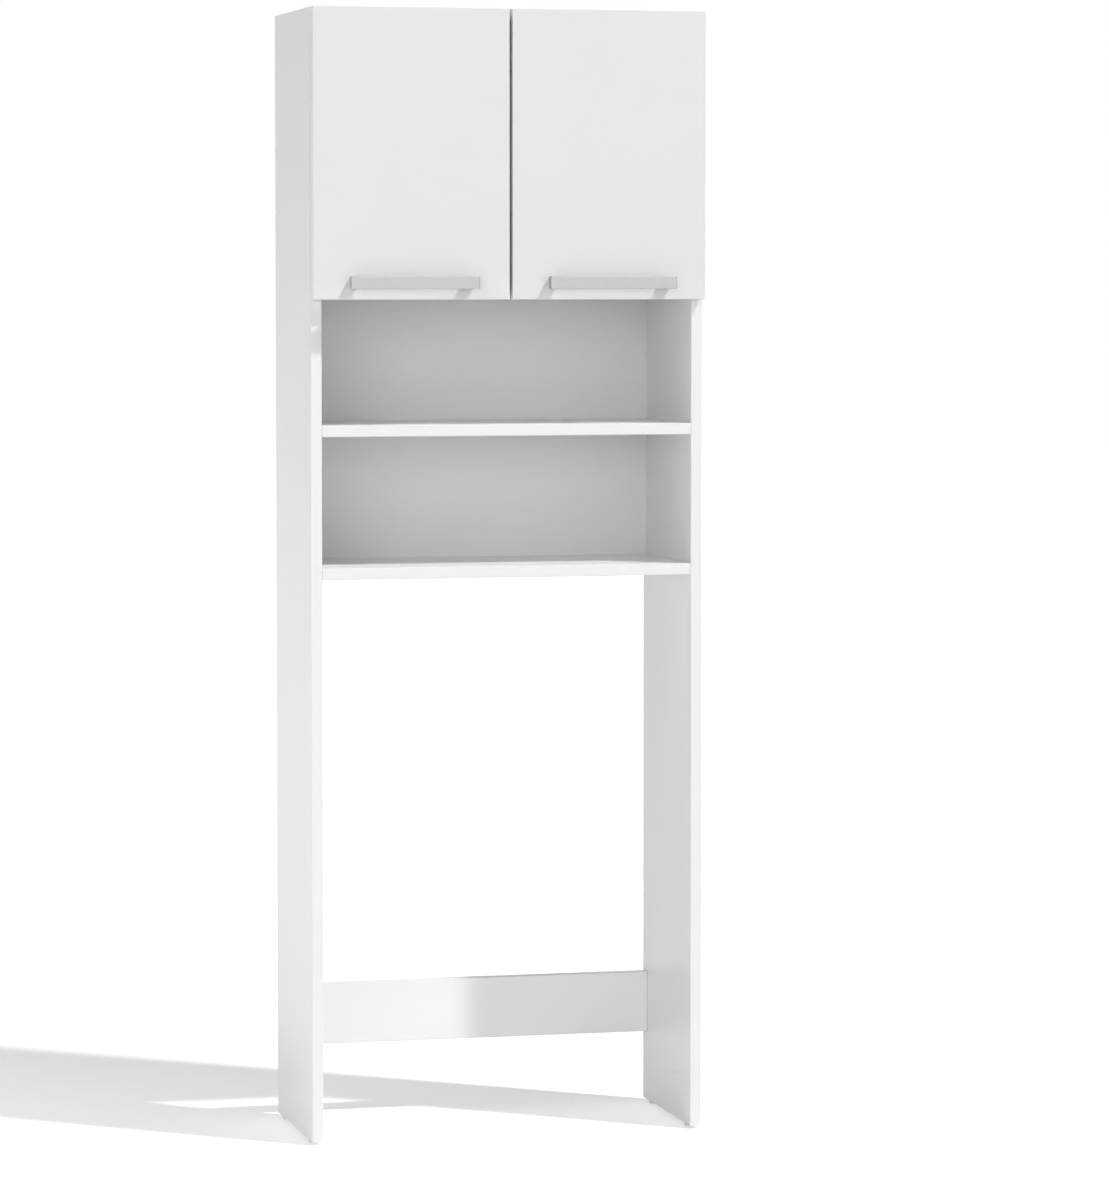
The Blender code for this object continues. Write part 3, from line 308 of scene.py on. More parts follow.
# %% Finish every board
# Each finish is a colour, a gloss, pebbles per metre and their relief in metres. Each banded edge is a
# side of the board's box: its low or high side on axis 0, 1 or 2.
LAMINATE = (BOARD_WHITE, 0.42, 1900.0, 0.00002)
DOOR_FOIL = (DOOR_WHITE, 0.30, 900.0, 0.000008)
BACK_PAINT = (BACK_WHITE, 0.60, 2600.0, 0.00002)
ALL_ROUND_X = (("low", 1), ("high", 1), ("low", 2), ("high", 2))
ALL_ROUND_Y = (("low", 0), ("high", 0), ("low", 2), ("high", 2))
boards = {
    "left_side_panel": ALL_ROUND_X, "right_side_panel": ALL_ROUND_X,
    "top_panel": (("low", 1), ("high", 1)), "cupboard_floor": (("low", 1),),
    "open_shelf": (("low", 1),), "bay_shelf": (("low", 1), ("high", 1)),
    "rear_rail": (("low", 2), ("high", 2)), "inner_shelf": (("low", 0), ("high", 0), ("low", 1)),
}


def dress(name, material):
    """Gives a node of the frame its finish."""
    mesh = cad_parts[name].data
    mesh.materials.clear()
    mesh.materials.append(material)


for name, banded in boards.items():
    dress(name, white_finish(name + "_white", *LAMINATE, *banded_planes(name, banded)))
for name in ("left_door", "right_door"):
    dress(name, white_finish(name + "_white", *DOOR_FOIL, *banded_planes(name, ALL_ROUND_Y)))
dress("back_panel", white_finish("back_panel_white", *BACK_PAINT, *banded_planes("back_panel", ())))
print("boards dressed", len(boards) + 3)

# %% [markdown]
# ## Metal
#
# The handles are satin nickel: brushed along their length, so the lines run with the bar. The hinges
# and screws are brighter, tumbled and plated, with soft clouds instead of lines, and the cams are dull
# cast zinc. One recipe makes all three, by squeezing the same noise more or less along one axis.

# %% The metal recipe
METAL_DRIFT = 0.04
METAL_GLOSS_DRIFT = 0.06


def metal_finish(name, colour, gloss, squeeze, relief, clouds=60.0):
    """A plated metal.

    Squeeze is how many strokes there are to a metre along each axis, and relief is their height in
    metres.
    """
    material = bpy.data.materials.new(name)
    material.use_nodes = True
    tree = material.node_tree
    shader = tree.nodes["Principled BSDF"]
    shader.inputs["Metallic"].default_value = 1.0
    place = node(tree, "TexCoord").outputs["Object"]
    lines = node(tree, "Group", {"Place": place, "Squeeze": squeeze, "Clouds per metre": clouds},
                 node_tree=brushing).outputs
    tone = mixed(tree, lines["Clouds"], [part * (1 - METAL_DRIFT) for part in colour],
                 [min(1.0, part * (1 + METAL_DRIFT)) for part in colour])
    tree.links.new(tone, shader.inputs["Base Color"])
    dull = node(tree, "MapRange", {
        "Value": lines["Relief"],
        "To Min": gloss - METAL_GLOSS_DRIFT, "To Max": gloss + METAL_GLOSS_DRIFT,
    })
    tree.links.new(dull.outputs[0], shader.inputs["Roughness"])
    bump = node(tree, "Bump", {"Height": lines["Relief"], "Strength": 1.0, "Distance": relief})
    tree.links.new(bump.outputs[0], shader.inputs["Normal"])
    return material


SATIN_NICKEL = metal_finish("satin_nickel", (0.415, 0.415, 0.415), gloss=0.50,
                            squeeze=(60.0, 5000.0, 5000.0), relief=0.000012)
PLATED = metal_finish("bright_plating", (0.68, 0.68, 0.67), gloss=0.24,
                      squeeze=(900.0, 900.0, 900.0), relief=0.000006)
ZINC = metal_finish("plain_zinc", (0.50, 0.50, 0.51), gloss=0.48,
                    squeeze=(2200.0, 2200.0, 2200.0), relief=0.00002)
print("metals", SATIN_NICKEL.name, PLATED.name, ZINC.name)

# %% [markdown]
# ## Handles
#
# Each handle is one flat bar on two legs, which stand a little in from its ends and are softened at
# their rims. Seen from above it is an outline, so it is a stamped shape 20 mm high: the bar's four
# corners are small arcs and the inner ones tighter arcs. Boxes with bevels would give bar and legs one
# radius everywhere. Each handle takes the place of the plainer solid under it and rides on its door.

# %% Arcs
def bend(centre, radius, start, end, steps=10):
    """Points along an arc, from one angle to another in degrees.

    point = centre + radius * (cos angle, sin angle)
    """
    angle = np.radians(np.linspace(start, end, steps + 1))
    return np.asarray(centre) + radius * np.stack([np.cos(angle), np.sin(angle)], axis=1)


print("a quarter circle has", len(bend((0, 0), 1, 0, 90)), "points")

# %% An outline moved inwards
MITRE_LEAST = 0.5


def inset(loop, depth):
    """A closed loop moved to its left by a depth: each corner slides along its mitre.

    mitre = 2 sum / |sum|^2, where the sum is that of the left normals of the two sides at the corner
    The square is never taken as less than MITRE_LEAST, so a sharp corner doesn't run away.
    """
    before, after = loop - np.roll(loop, 1, axis=0), np.roll(loop, -1, axis=0) - loop
    before /= np.linalg.norm(before, axis=1)[:, None]
    after /= np.linalg.norm(after, axis=1)[:, None]
    left = lambda way: np.stack([-way[:, 1], way[:, 0]], axis=1)
    mitre = left(before) + left(after)
    mitre *= (2 / np.maximum((mitre ** 2).sum(axis=1), MITRE_LEAST))[:, None]
    return loop + depth * mitre


unit_square = np.array([(0.0, 0.0), (1.0, 0.0), (1.0, 1.0), (0.0, 1.0)])
print("a unit square moved in by 0.1:", inset(unit_square, 0.1).round(2).tolist())

# %% Stamped pieces
def stamped(loops, low, high, rim, origin, axes, steps=3):
    """Points and faces of a slab with softened rims.

    The first loop is the outline, anticlockwise, and the others are holes, clockwise. Ring number k of
    each loop is set in by rim * (1 - sin) and raised by rim * (1 - cos), a quarter turn at each face.
    """
    turn = np.linspace(0, math.pi / 2, steps + 1)
    depths = np.concatenate([rim * (1 - np.sin(turn)), rim * (1 - np.sin(turn[::-1]))])
    levels = np.concatenate([low + rim * (1 - np.cos(turn)), high - rim * (1 - np.cos(turn[::-1]))])
    across, along, up = (np.asarray(axis, float) for axis in axes)
    points, faces, bottoms, tops, first = [], [], [], [], 0
    for loop in loops:
        loop = np.asarray(loop, float)
        flat = np.stack([inset(loop, depth) for depth in depths])
        solid = (np.asarray(origin) + flat[..., :1] * across + flat[..., 1:] * along
                 + levels[:, None, None] * up)
        points.append(solid.reshape(-1, 3))
        faces += grid_faces(len(depths), len(loop), first)
        bottoms.append((flat[0], first))
        tops.append((flat[-1], first + (len(depths) - 1) * len(loop)))
        first += len(depths) * len(loop)
    for rings in (bottoms, tops):
        index = np.concatenate([np.arange(len(ring)) + start for ring, start in rings])
        flat = [[Vector((x, y, 0)) for x, y in ring] for ring, _ in rings]
        faces += [[int(index[corner]) for corner in triangle] for triangle in tessellate_polygon(flat)]
    return np.concatenate(points), faces


print("a stamped square has", len(stamped([unit_square], 0, 1, 0.1, (0, 0, 0), np.eye(3))[1]), "faces")

# %% The two handles
HANDLE_BAR = 0.008
HANDLE_LEG_START = 0.0045
HANDLE_LEG_END = 0.015
HANDLE_OUTER = 0.002
HANDLE_INNER = 0.0012
HANDLE_RIM = 0.0006


def handle_outline(low, high):
    """The bar and legs seen from above, anticlockwise, from a node's box. The legs point to the door."""
    x0, x1, face, root = low.x, high.x, low.y, high.y
    inside = face + HANDLE_BAR
    outer, inner, start, end = HANDLE_OUTER, HANDLE_INNER, HANDLE_LEG_START, HANDLE_LEG_END
    return np.concatenate([
        bend((x0 + outer, face + outer), outer, 180, 270),
        bend((x1 - outer, face + outer), outer, 270, 360),
        bend((x1 - inner, inside - inner), inner, 0, 90, steps=6),
        bend((x1 - start + inner, inside + inner), inner, 270, 180, steps=6),
        [(x1 - start, root), (x1 - end, root)],
        bend((x1 - end - inner, inside + inner), inner, 0, -90, steps=6),
        bend((x0 + end + inner, inside + inner), inner, 270, 180, steps=6),
        [(x0 + end, root), (x0 + start, root)],
        bend((x0 + start - inner, inside + inner), inner, 0, -90, steps=6),
        bend((x0 + inner, inside - inner), inner, 90, 180, steps=6),
    ])


for side in ("left", "right"):
    low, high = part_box(f"{side}_handle")
    shape = stamped([handle_outline(low, high)], low=low.z, high=high.z, rim=HANDLE_RIM,
                    origin=(0, 0, 0), axes=np.eye(3), steps=4)
    piece(f"{side}_bar_handle", *shape, SATIN_NICKEL, "satin_metal", f"{side}_door", (f"{side}_handle",))
    print(side, "handle", round((high.x - low.x) * 1000, 1), "mm")

# %% [markdown]
# ## Small pieces
#
# A screw head, a shelf pin, a glide, a cam and a bumper are all turned pieces, so each is one profile
# of radius and height. What makes them read as real is what a lathe or a press leaves: softened
# corners, and the cross that the screwdriver goes into.

# %% The axis of a turned piece
def frame_of(way):
    """Two directions square to a direction and to each other, with it as the third.

    first = helper x third and second = third x first, with up as the helper, or y where the third is
    nearly up
    """
    third = np.asarray(way, float) / np.linalg.norm(way)
    helper = np.array([0.0, 0.0, 1.0]) if abs(third[2]) < 0.9 else np.array([0.0, 1.0, 0.0])
    first = np.cross(helper, third)
    first /= np.linalg.norm(first)
    return first, np.cross(third, first), third


print("square to up:", *(direction.tolist() for direction in frame_of((0, 0, 1))[:2]))

# %% The screwdriver's cross
def cross_reach(angle, along, across, half_width):
    """How far a sunk cross reaches from its middle in each direction.

    Each bar reaches min(its length / |cos|, its half width / |sin|), and the cross is the farther of
    its two bars.
    """
    c, s = np.maximum(np.abs([np.cos(angle), np.sin(angle)]), 1e-9)
    return np.maximum(np.minimum(along / c, half_width / s), np.minimum(across / s, half_width / c))


print("a cross reaches", cross_reach(np.radians([0, 45]), 2.2, 2.2, 0.5).round(2).tolist(),
      "mm along its bar and between the bars")

# %% Turned pieces
RECESS_NARROWS, RECESS_POINT = 0.85, 1.15


def turned(profile, foot, way, steps=48, recess=None):
    """Points and faces of a turned piece.

    point(i, a) = foot + height(i) * way + radius(i) * (cos a * first + sin a * second)
    A recess (along, across, half width, depth) is a cross sunk into the face of the last ring. The
    rings are then cut where the cross has its corners. Its floor is RECESS_NARROWS of its mouth, and
    its middle lies RECESS_POINT of its depth down.
    """
    radius, height = np.asarray(profile, float).T
    first, second, third = frame_of(way)
    angle = np.arange(steps) * math.tau / steps
    if recess:
        along, across, half_width, depth = recess
        corners = np.array([math.atan2(half_width, along), math.pi / 4, math.atan2(across, half_width)])
        between = np.linspace(0, math.pi / 2, 7)[1:-1]
        quarter = np.unique(np.concatenate([[0], corners, between]).round(3))
        angle = (np.arange(4)[:, None] * math.pi / 2 + quarter).ravel()
        reach = cross_reach(angle, along, across, half_width)
        ones = np.ones((1, len(angle)))
        radius = np.concatenate([radius[:, None] * ones, [reach, reach * RECESS_NARROWS], 0 * ones])
        top = height[-1]
        height = np.concatenate([height, [top, top - depth, top - depth * RECESS_POINT]])
    else:
        radius = radius[:, None] * np.ones((1, steps))
    ring = np.cos(angle)[:, None] * first + np.sin(angle)[:, None] * second
    points = np.asarray(foot) + height[:, None, None] * third + radius[..., None] * ring
    return points.reshape(-1, 3), grid_faces(len(height), len(angle))


print("a turned cone has", len(turned([(0, 0), (1, 0), (0, 1)], (0, 0, 0), (0, 0, 1))[1]), "faces")

# %% Several shapes as one
def together(*parts):
    """Several shapes as one list of points and one of faces."""
    points, faces, first = [], [], 0
    for some_points, some_faces in parts:
        points.append(some_points)
        faces += [[corner + first for corner in face] for face in some_faces]
        first += len(some_points)
    return np.concatenate(points), faces


cones = [turned([(1, 0), (0, side)], (0, 0, 0), (0, 0, 1), steps=6) for side in (-1, 1)]
print("two joined cones have", len(together(*cones)[1]), "faces")

# %% Finishes of the small pieces
MOULD_PEBBLES, MOULD_RELIEF = 1500.0, 0.00001
OUT_OF_REACH = ((-FAR,) * 3, (FAR * 3,) * 3)


def moulded(name, colour, gloss):
    """A moulded finish: a faint pebbled skin, whose band planes lie out of reach."""
    return white_finish(name, colour, gloss, MOULD_PEBBLES, MOULD_RELIEF, *OUT_OF_REACH)


WHITE_PLASTIC = moulded("white_plastic", (0.80, 0.80, 0.79), 0.45)
SOFT_PAD = moulded("soft_pad", (0.72, 0.72, 0.71), 0.30)
MM = 0.001
SEAT = 0.3 * MM
# Faces that would lie in one plane are kept this many millimetres apart, so they never flicker.
APART = 0.02
BACKWARDS, UPWARDS = (0, 1, 0), (0, 0, 1)


def in_mm(profile):
    """A profile written in millimetres, in metres."""
    return np.asarray(profile, float) * MM


print("small finishes", WHITE_PLASTIC.name, SOFT_PAD.name)

# %% The pan head of a screw
CROWN_SHARE, WALL_SHARE, UNDER_EASE = 0.68, 0.35, 0.15


def pan_head(radius, foot, top):
    """The rising profile of a screw's pan head, from its underside's middle to its flat crown.

    Its side stands straight for WALL_SHARE of the height and then follows a quarter of an ellipse,
    (crown + (radius - crown) cos t, the rest of the height * sin t), in to CROWN_SHARE of the radius.
    """
    crown = radius * CROWN_SHARE
    turn = np.linspace(0, math.pi / 2, 6)
    side = np.stack([crown + (radius - crown) * np.cos(turn),
                     foot + (top - foot) * (WALL_SHARE + (1 - WALL_SHARE) * np.sin(turn))], axis=1)
    return [(0, foot), (radius - UNDER_EASE, foot), (radius, foot + UNDER_EASE), *side]


print("a pan head's profile has", len(pan_head(radius=4.2, foot=0.3, top=2.4)), "points")

# %% Handle screws, seen inside the open doors
# A cross is its two reaches, its half width and its depth.
HANDLE_SCREW_CROSS = (2.2 * MM, 2.2 * MM, 0.5 * MM, 1.3 * MM)
handle_screw_shank = in_mm([(0, -29), (1.0, -29), (2.0, -27), (2.0, 1.0), (0, 1.0)])
handle_screw_head = in_mm(pan_head(radius=4.2, foot=0.3, top=2.4))
for side in ("left", "right"):
    for end in ("left", "right"):
        low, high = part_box(f"{side}_handle_{end}_screw")
        middle = ((low.x + high.x) / 2, door_back, (low.z + high.z) / 2)
        shank = turned(handle_screw_shank, middle, BACKWARDS, steps=24)
        head = turned(handle_screw_head, middle, BACKWARDS, recess=HANDLE_SCREW_CROSS)
        piece(f"{side}_handle_{end}_pan_screw", *together(shank, head), PLATED, "plated_steel",
              f"{side}_door", (f"{side}_handle_{end}_screw",))
print("handle screws 4")

# %% Shelf pins
# The pin's head has a groove turned round it, where the shelf can't slide off.
pin_profile = in_mm([(0, -8), (1.9, -8), (2.5, -7.4), (2.5, 0.3), (3.7, 0.3), (4.0, 0.6), (4.0, 5.0),
                     (3.75, 5.3), (3.75, 5.7), (4.0, 6.0), (4.0, 6.5), (3.8, 6.85), (3.4, 7.0), (0, 7)])
for side, sign in (("left", -1), ("right", 1)):
    for end in ("front", "rear"):
        low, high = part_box(f"{side}_{end}_shelf_pin")
        foot = (sign * inner_half, (low.y + high.y) / 2, (low.z + high.z) / 2)
        shape = turned(pin_profile, foot, (-sign, 0, 0), steps=40)
        piece(f"{side}_{end}_turned_pin", *shape, PLATED, "plated_steel", "carcass",
              (f"{side}_{end}_shelf_pin",))
print("shelf pins 4")

# %% Glides
glide_profile = in_mm([(0, 0), (4.0, 0), (6.2, 0), (7.0, 0.35), (7.7, 1.0), (8.0, 1.8), (8.0, 4.3),
                       (7.6, 4.7), (1.5, 4.7), (1.5, 17), (0.3, 19), (0, 19)])
for side in ("left", "right"):
    for end in ("front", "rear"):
        low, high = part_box(f"{side}_{end}_glide")
        foot = ((low.x + high.x) / 2, (low.y + high.y) / 2, 0)
        shape = turned(glide_profile, foot, UPWARDS, steps=48)
        piece(f"{side}_{end}_nailed_glide", *shape, WHITE_PLASTIC, "white_plastic", "carcass",
              (f"{side}_{end}_glide",))
print("glides 4")

# %% Door bumpers
bumper_profile = in_mm([(0, 0.3), (4.3, 0.3), (4.5, 0.5), (4.5, 1.0), (4.3, 1.7), (3.7, 2.4), (2.7, 2.9),
                        (1.4, 3.15), (0, 3.2)])
for side in ("left", "right"):
    low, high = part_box(f"{side}_door_bumper")
    foot = ((low.x + high.x) / 2, door_back, (low.z + high.z) / 2)
    shape = turned(bumper_profile, foot, BACKWARDS, steps=40)
    piece(f"{side}_soft_dome", *shape, SOFT_PAD, "soft_bumper", f"{side}_door",
          (f"{side}_door_bumper",))
print("bumpers 2")

# %% [markdown]
# ## Cam fittings
#
# A cam is a die-cast disc let into the face of a board, flush with it. A screwdriver turns it through
# a slot with a short cross bar, and a bolt runs from it out of the board's end. The disc is a turned
# piece with that cross sunk in. Its face lies 0.3 mm under the board's, so it never flickers there.

# %% Rounded profiles
def eased(profile, radius, steps=3):
    """A profile whose corners are rounded: each becomes an arc that touches both of its sides.

    arc = start (1-t)^2 + 2 corner t (1-t) + end t^2, where start and end lie on the two sides
    A number for each point says how far they lie from the corner, and 0 keeps it sharp.
    """
    points = [np.asarray(profile[0], float)]
    for before, corner, after, size in zip(profile, profile[1:], profile[2:], radius[1:]):
        before, corner, after = (np.asarray(point, float) for point in (before, corner, after))
        if size:
            back, on = before - corner, after - corner
            back, on = back / np.linalg.norm(back), on / np.linalg.norm(on)
            t = np.linspace(0, 1, steps + 1)[:, None]
            start, end = corner + back * size, corner + on * size
            points.extend(start * (1 - t) ** 2 + corner * 2 * t * (1 - t) + end * t ** 2)
        else:
            points.append(corner)
    points.append(np.asarray(profile[-1], float))
    return points


print("a rounded corner has", len(eased([(0, 0), (1, 0), (1, 1)], [0, 0.2])) - 2, "points")

# %% The ten cams
# Each board, with the direction that its two cams face.
cam_places = {"top_panel": (0, 0, -1), "cupboard_floor": (0, 0, 1), "open_shelf": (0, 0, -1),
              "bay_shelf": (0, 0, -1), "rear_rail": (0, 1, 0)}
CAM_INSET = 24 * MM
CAM_CROSS = (5.2 * MM, 2.4 * MM, 0.7 * MM, 1.9 * MM)
BOLT_RADIUS, BOLT_DEPTH, BOLT_START, BOLT_PAST = 3.0, 9.0, 3.0, 10.0
BOLT_END = CAM_INSET / MM + BOLT_PAST
cam_profile = eased([(0, -12.5), (7.2, -12.5), (7.2, -0.3), (6.3, -0.3), (6.0, -0.6), (5.9, -0.6)],
                    [0, 0.4, 0.3, 0, 0, 0])
bolt_profile = [(0, BOLT_START), (BOLT_RADIUS, BOLT_START), (BOLT_RADIUS, BOLT_END - 1),
                (BOLT_RADIUS - 0.8, BOLT_END), (0, BOLT_END)]
for board, way in cam_places.items():
    for side, sign in (("left", -1), ("right", 1)):
        low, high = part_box(f"{board}_{side}_cam")
        way_out = np.array(way, float)
        face = np.array([sign * (inner_half - CAM_INSET), (low.y + high.y) / 2, (low.z + high.z) / 2])
        axis = int(np.argmax(np.abs(way_out)))
        face[axis] = (high if way_out[axis] > 0 else low)[axis] + way_out[axis] * SEAT
        disc = turned(in_mm(cam_profile), face, way, recess=CAM_CROSS)
        middle = face - way_out * BOLT_DEPTH * MM
        bolt = turned(in_mm(bolt_profile), middle, (sign, 0, 0), steps=24)
        piece(f"{board}_{side}_cast_cam", *together(disc, bolt), ZINC, "zinc_casting", "carcass",
              (f"{board}_{side}_cam",))
print("cams", len(cam_places) * 2)

# %% [markdown]
# ## Concealed hinges
#
# Each door hangs on two concealed hinges. A cup is let into the door, an arm sits on a plate on the
# side panel, and two links join them: a four-bar linkage, which carries the door out and round so that
# it clears its neighbour. All places are measured as a fitter would, inwards from the side panel's
# inner face and outwards from the door's back, and one function turns them into the frame's axes. The
# links and the arm's cheeks are stamped shapes; the cup, pins and screws are turned ones.

# %% Measures of the hinge, in millimetres
# Pairs of numbers are places, as (inwards, outwards).
CUP_MIDDLE = 5.0
OUTER_ARM, OUTER_BEND, OUTER_CUP = (10.4, -8.5), (3.0, 15.3), (-7.5, 4.5)
INNER_ARM, INNER_BEND, INNER_CUP = (16.3, 4.0), (4.5, 9.2), (-1.5, 2.4)
LINK_GAP, LINK_HIGH, LINK_HALF, LINK_PINCH, LINK_EYE = 0.4, 4.8, 2.5, 0.6, 1.7
PIN, INNER_PIN_FOOT, OUTER_PIN_FOOT = 1.4, -8.6, -10.5
CHEEK_IN, CHEEK_OUT, CHEEK_THICK, CHEEK_ROUND = 5.6, 7.2, 1.56, 2.8
ARM_UNDER, ARM_NOSE_UNDER, ARM_TOP, ARM_TAIL, ARM_WEB = 5.0, 13.0, 18.7, -75.5, 1.5
PLATE_MIDDLE = panel_front + 37 * MM
PLATE_SCREW, ARM_SCREW = 16.0, 14.0
EAR_IN, EAR_UP, EAR_HALF, EAR_END, EAR_CORNER = 9.5, 22.5, 5.75, 5.8, 3.5
heights = {level: sum(corner.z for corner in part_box(f"right_{level}_hinge_plate")) / 2
           for level in ("lower", "upper")}
hinges = [(side, level, sign, height) for side, sign in (("left", -1), ("right", 1))
          for level, height in heights.items()]
print("hinge heights", {level: round(height, 4) for level, height in heights.items()})

# %% From a fitter's measures to the frame
def hinge_axes(sign, height):
    """Origin and axes of a hinge: first axis inwards, second outwards, third up."""
    origin = np.array([sign * inner_half, door_back, height])
    return origin, np.array([[-sign, 0, 0], [0, -1, 0], [0, 0, 1]])


def at(sign, height, inwards, outwards, up=0.0):
    """The place of a point of a hinge in the frame.

    place = origin + inwards * first axis + outwards * second axis + up * third axis, from millimetres
    """
    origin, axes = hinge_axes(sign, height)
    return origin + np.array([inwards, outwards, up]) * MM @ axes


def stamping(loops, low, high, rim, origin, axes):
    """A stamped piece whose loops, levels and rim are in millimetres, at an origin in metres."""
    return stamped([loop * MM for loop in loops], low * MM, high * MM, rim * MM, origin, axes)


print("the right upper hinge's outer pin", at(1, heights["upper"], *OUTER_ARM).round(4).tolist())

# %% Holes and bent straps
def ring_of(centre, radius, steps=24):
    """A clockwise circle, which is a hole in an outline."""
    return bend(centre, radius, 360, 0, steps)[:-1]


def link_outline(start, middle, end, steps=28):
    """A bent strap, anticlockwise.

    Its middle line is the quadratic curve start (1-t)^2 + 2 middle t (1-t) + end t^2, and its half
    width is LINK_HALF - LINK_PINCH sin(pi t), so it is narrowest halfway.
    """
    start, middle, end = (np.array(point) for point in (start, middle, end))
    t = np.linspace(0, 1, steps)[:, None]
    line = start * (1 - t) ** 2 + middle * 2 * t * (1 - t) + end * t ** 2
    way = (middle - start) * (1 - t) + (end - middle) * t
    way /= np.linalg.norm(way, axis=1)[:, None]
    half = LINK_HALF - LINK_PINCH * np.sin(math.pi * t)
    left = line + half * np.stack([-way[:, 1], way[:, 0]], axis=1)
    right = line - half * np.stack([-way[:, 1], way[:, 0]], axis=1)
    turn = lambda point, centre: math.degrees(math.atan2(*(point - centre)[::-1]))
    last, first = turn(right[-1], end), turn(left[0], start)
    return np.concatenate([right, bend(end, LINK_HALF, last, last + 180)[1:-1], left[::-1],
                           bend(start, LINK_HALF, first, first + 180)[1:-1]])


print("a link's outline has", len(link_outline(OUTER_ARM, OUTER_BEND, OUTER_CUP)), "points")

# %% The eight links
inner_pin = in_mm([(0, 0), (PIN - 0.2, 0), (PIN, 0.2), (PIN, 8.2), (0, 8.2)])
for side, level, sign, height in hinges:
    origin, axes = hinge_axes(sign, height)
    for kind, points, low in (("outer", (OUTER_ARM, OUTER_BEND, OUTER_CUP), LINK_GAP),
                              ("inner", (INNER_ARM, INNER_BEND, INNER_CUP), -LINK_GAP - LINK_HIGH)):
        loops = [link_outline(*points), ring_of(points[0], LINK_EYE), ring_of(points[2], LINK_EYE)]
        parts = [stamping(loops, low=low, high=low + LINK_HIGH, rim=0.35, origin=origin, axes=axes)]
        if kind == "inner":
            foot = at(sign, height, *points[2], INNER_PIN_FOOT)
            parts.append(turned(inner_pin, foot, UPWARDS, steps=24))
        piece(f"{side}_{level}_{kind}_strap", *together(*parts), PLATED, "plated_steel",
              f"{side}_{kind}_links", (f"{side}_{level}_hinge_{kind}_link",))
print("links", len(hinges) * 2)

# %% The section of an arm
def folded_channel(under):
    """The arm's cross-section, anticlockwise: a U with rounded folds, as (inwards, up)."""
    rise, half, inside, web = ARM_TOP, CHEEK_OUT, CHEEK_IN, ARM_TOP - ARM_WEB
    outer, inner = 1.8, 0.5
    return np.concatenate([
        [(under, -half)], bend((rise - outer, -half + outer), outer, -90, 0, steps=8),
        bend((rise - outer, half - outer), outer, 0, 90, steps=8), [(under, half), (under, inside)],
        bend((web - inner, inside - inner), inner, 90, 0, steps=4),
        bend((web - inner, -inside + inner), inner, 0, -90, steps=4), [(under, -inside)],
    ])


print("an arm's section has", len(folded_channel(ARM_UNDER)), "points")

# %% The four arms
# Each cheek wraps round the two pins, and its edge between them is parallel to the line through them.
slope = math.degrees(math.atan2(INNER_ARM[1] - OUTER_ARM[1], INNER_ARM[0] - OUTER_ARM[0]))
rivet = eased([(0, -7.9), (2.1, -7.9), (2.1, -7.1), (PIN, -7.1), (PIN, 7.1), (2.1, 7.1), (2.1, 7.9),
               (0, 7.9)], [0, 0.5, 0, 0, 0, 0, 0.5])
cheek = np.concatenate([
    [(ARM_UNDER, -19.0), (17.0, -19.0), (17.0, -0.8), (ARM_TOP, -0.8)],
    bend(INNER_ARM, CHEEK_ROUND, 0, slope + 90, steps=12),
    bend(OUTER_ARM, CHEEK_ROUND, slope + 90, 180, steps=12),
    [(7.6, -11.3), (ARM_UNDER, -17.5)],
])
for side, level, sign, height in hinges:
    origin, axes = hinge_axes(sign, height)
    channel_axes = np.array([axes[0], axes[2], -axes[1]])
    parts = [
        stamping([folded_channel(ARM_UNDER)], low=17.5, high=-ARM_TAIL, rim=0.3,
                 origin=origin, axes=channel_axes),
        stamping([folded_channel(ARM_NOSE_UNDER)], low=0.5, high=18.5, rim=0.25,
                 origin=origin, axes=channel_axes),
    ]
    for low in (-CHEEK_OUT + APART, CHEEK_IN + APART):
        parts.append(stamping([cheek], low=low, high=low + CHEEK_THICK, rim=0.3,
                              origin=origin, axes=axes))
    for place in (OUTER_ARM, INNER_ARM):
        parts.append(turned(in_mm(rivet), at(sign, height, *place), UPWARDS, steps=32))
    piece(f"{side}_{level}_folded_arm", *together(*parts), PLATED, "plated_steel", "carcass",
          (f"{side}_{level}_hinge_arm",))
print("arms", len(hinges))

# %% A bar with round corners
def rounded_bar(half_along, half_up, corner, steps=8):
    """An anticlockwise rectangle with round corners, about its middle."""
    a, u = half_along - corner, half_up - corner
    return np.concatenate([bend((a, -u), corner, -90, 0, steps), bend((a, u), corner, 0, 90, steps),
                           bend((-a, u), corner, 90, 180, steps),
                           bend((-a, -u), corner, 180, 270, steps)])


print("a rounded bar has", len(rounded_bar(half_along=8.0, half_up=23.0, corner=7.6)), "points")

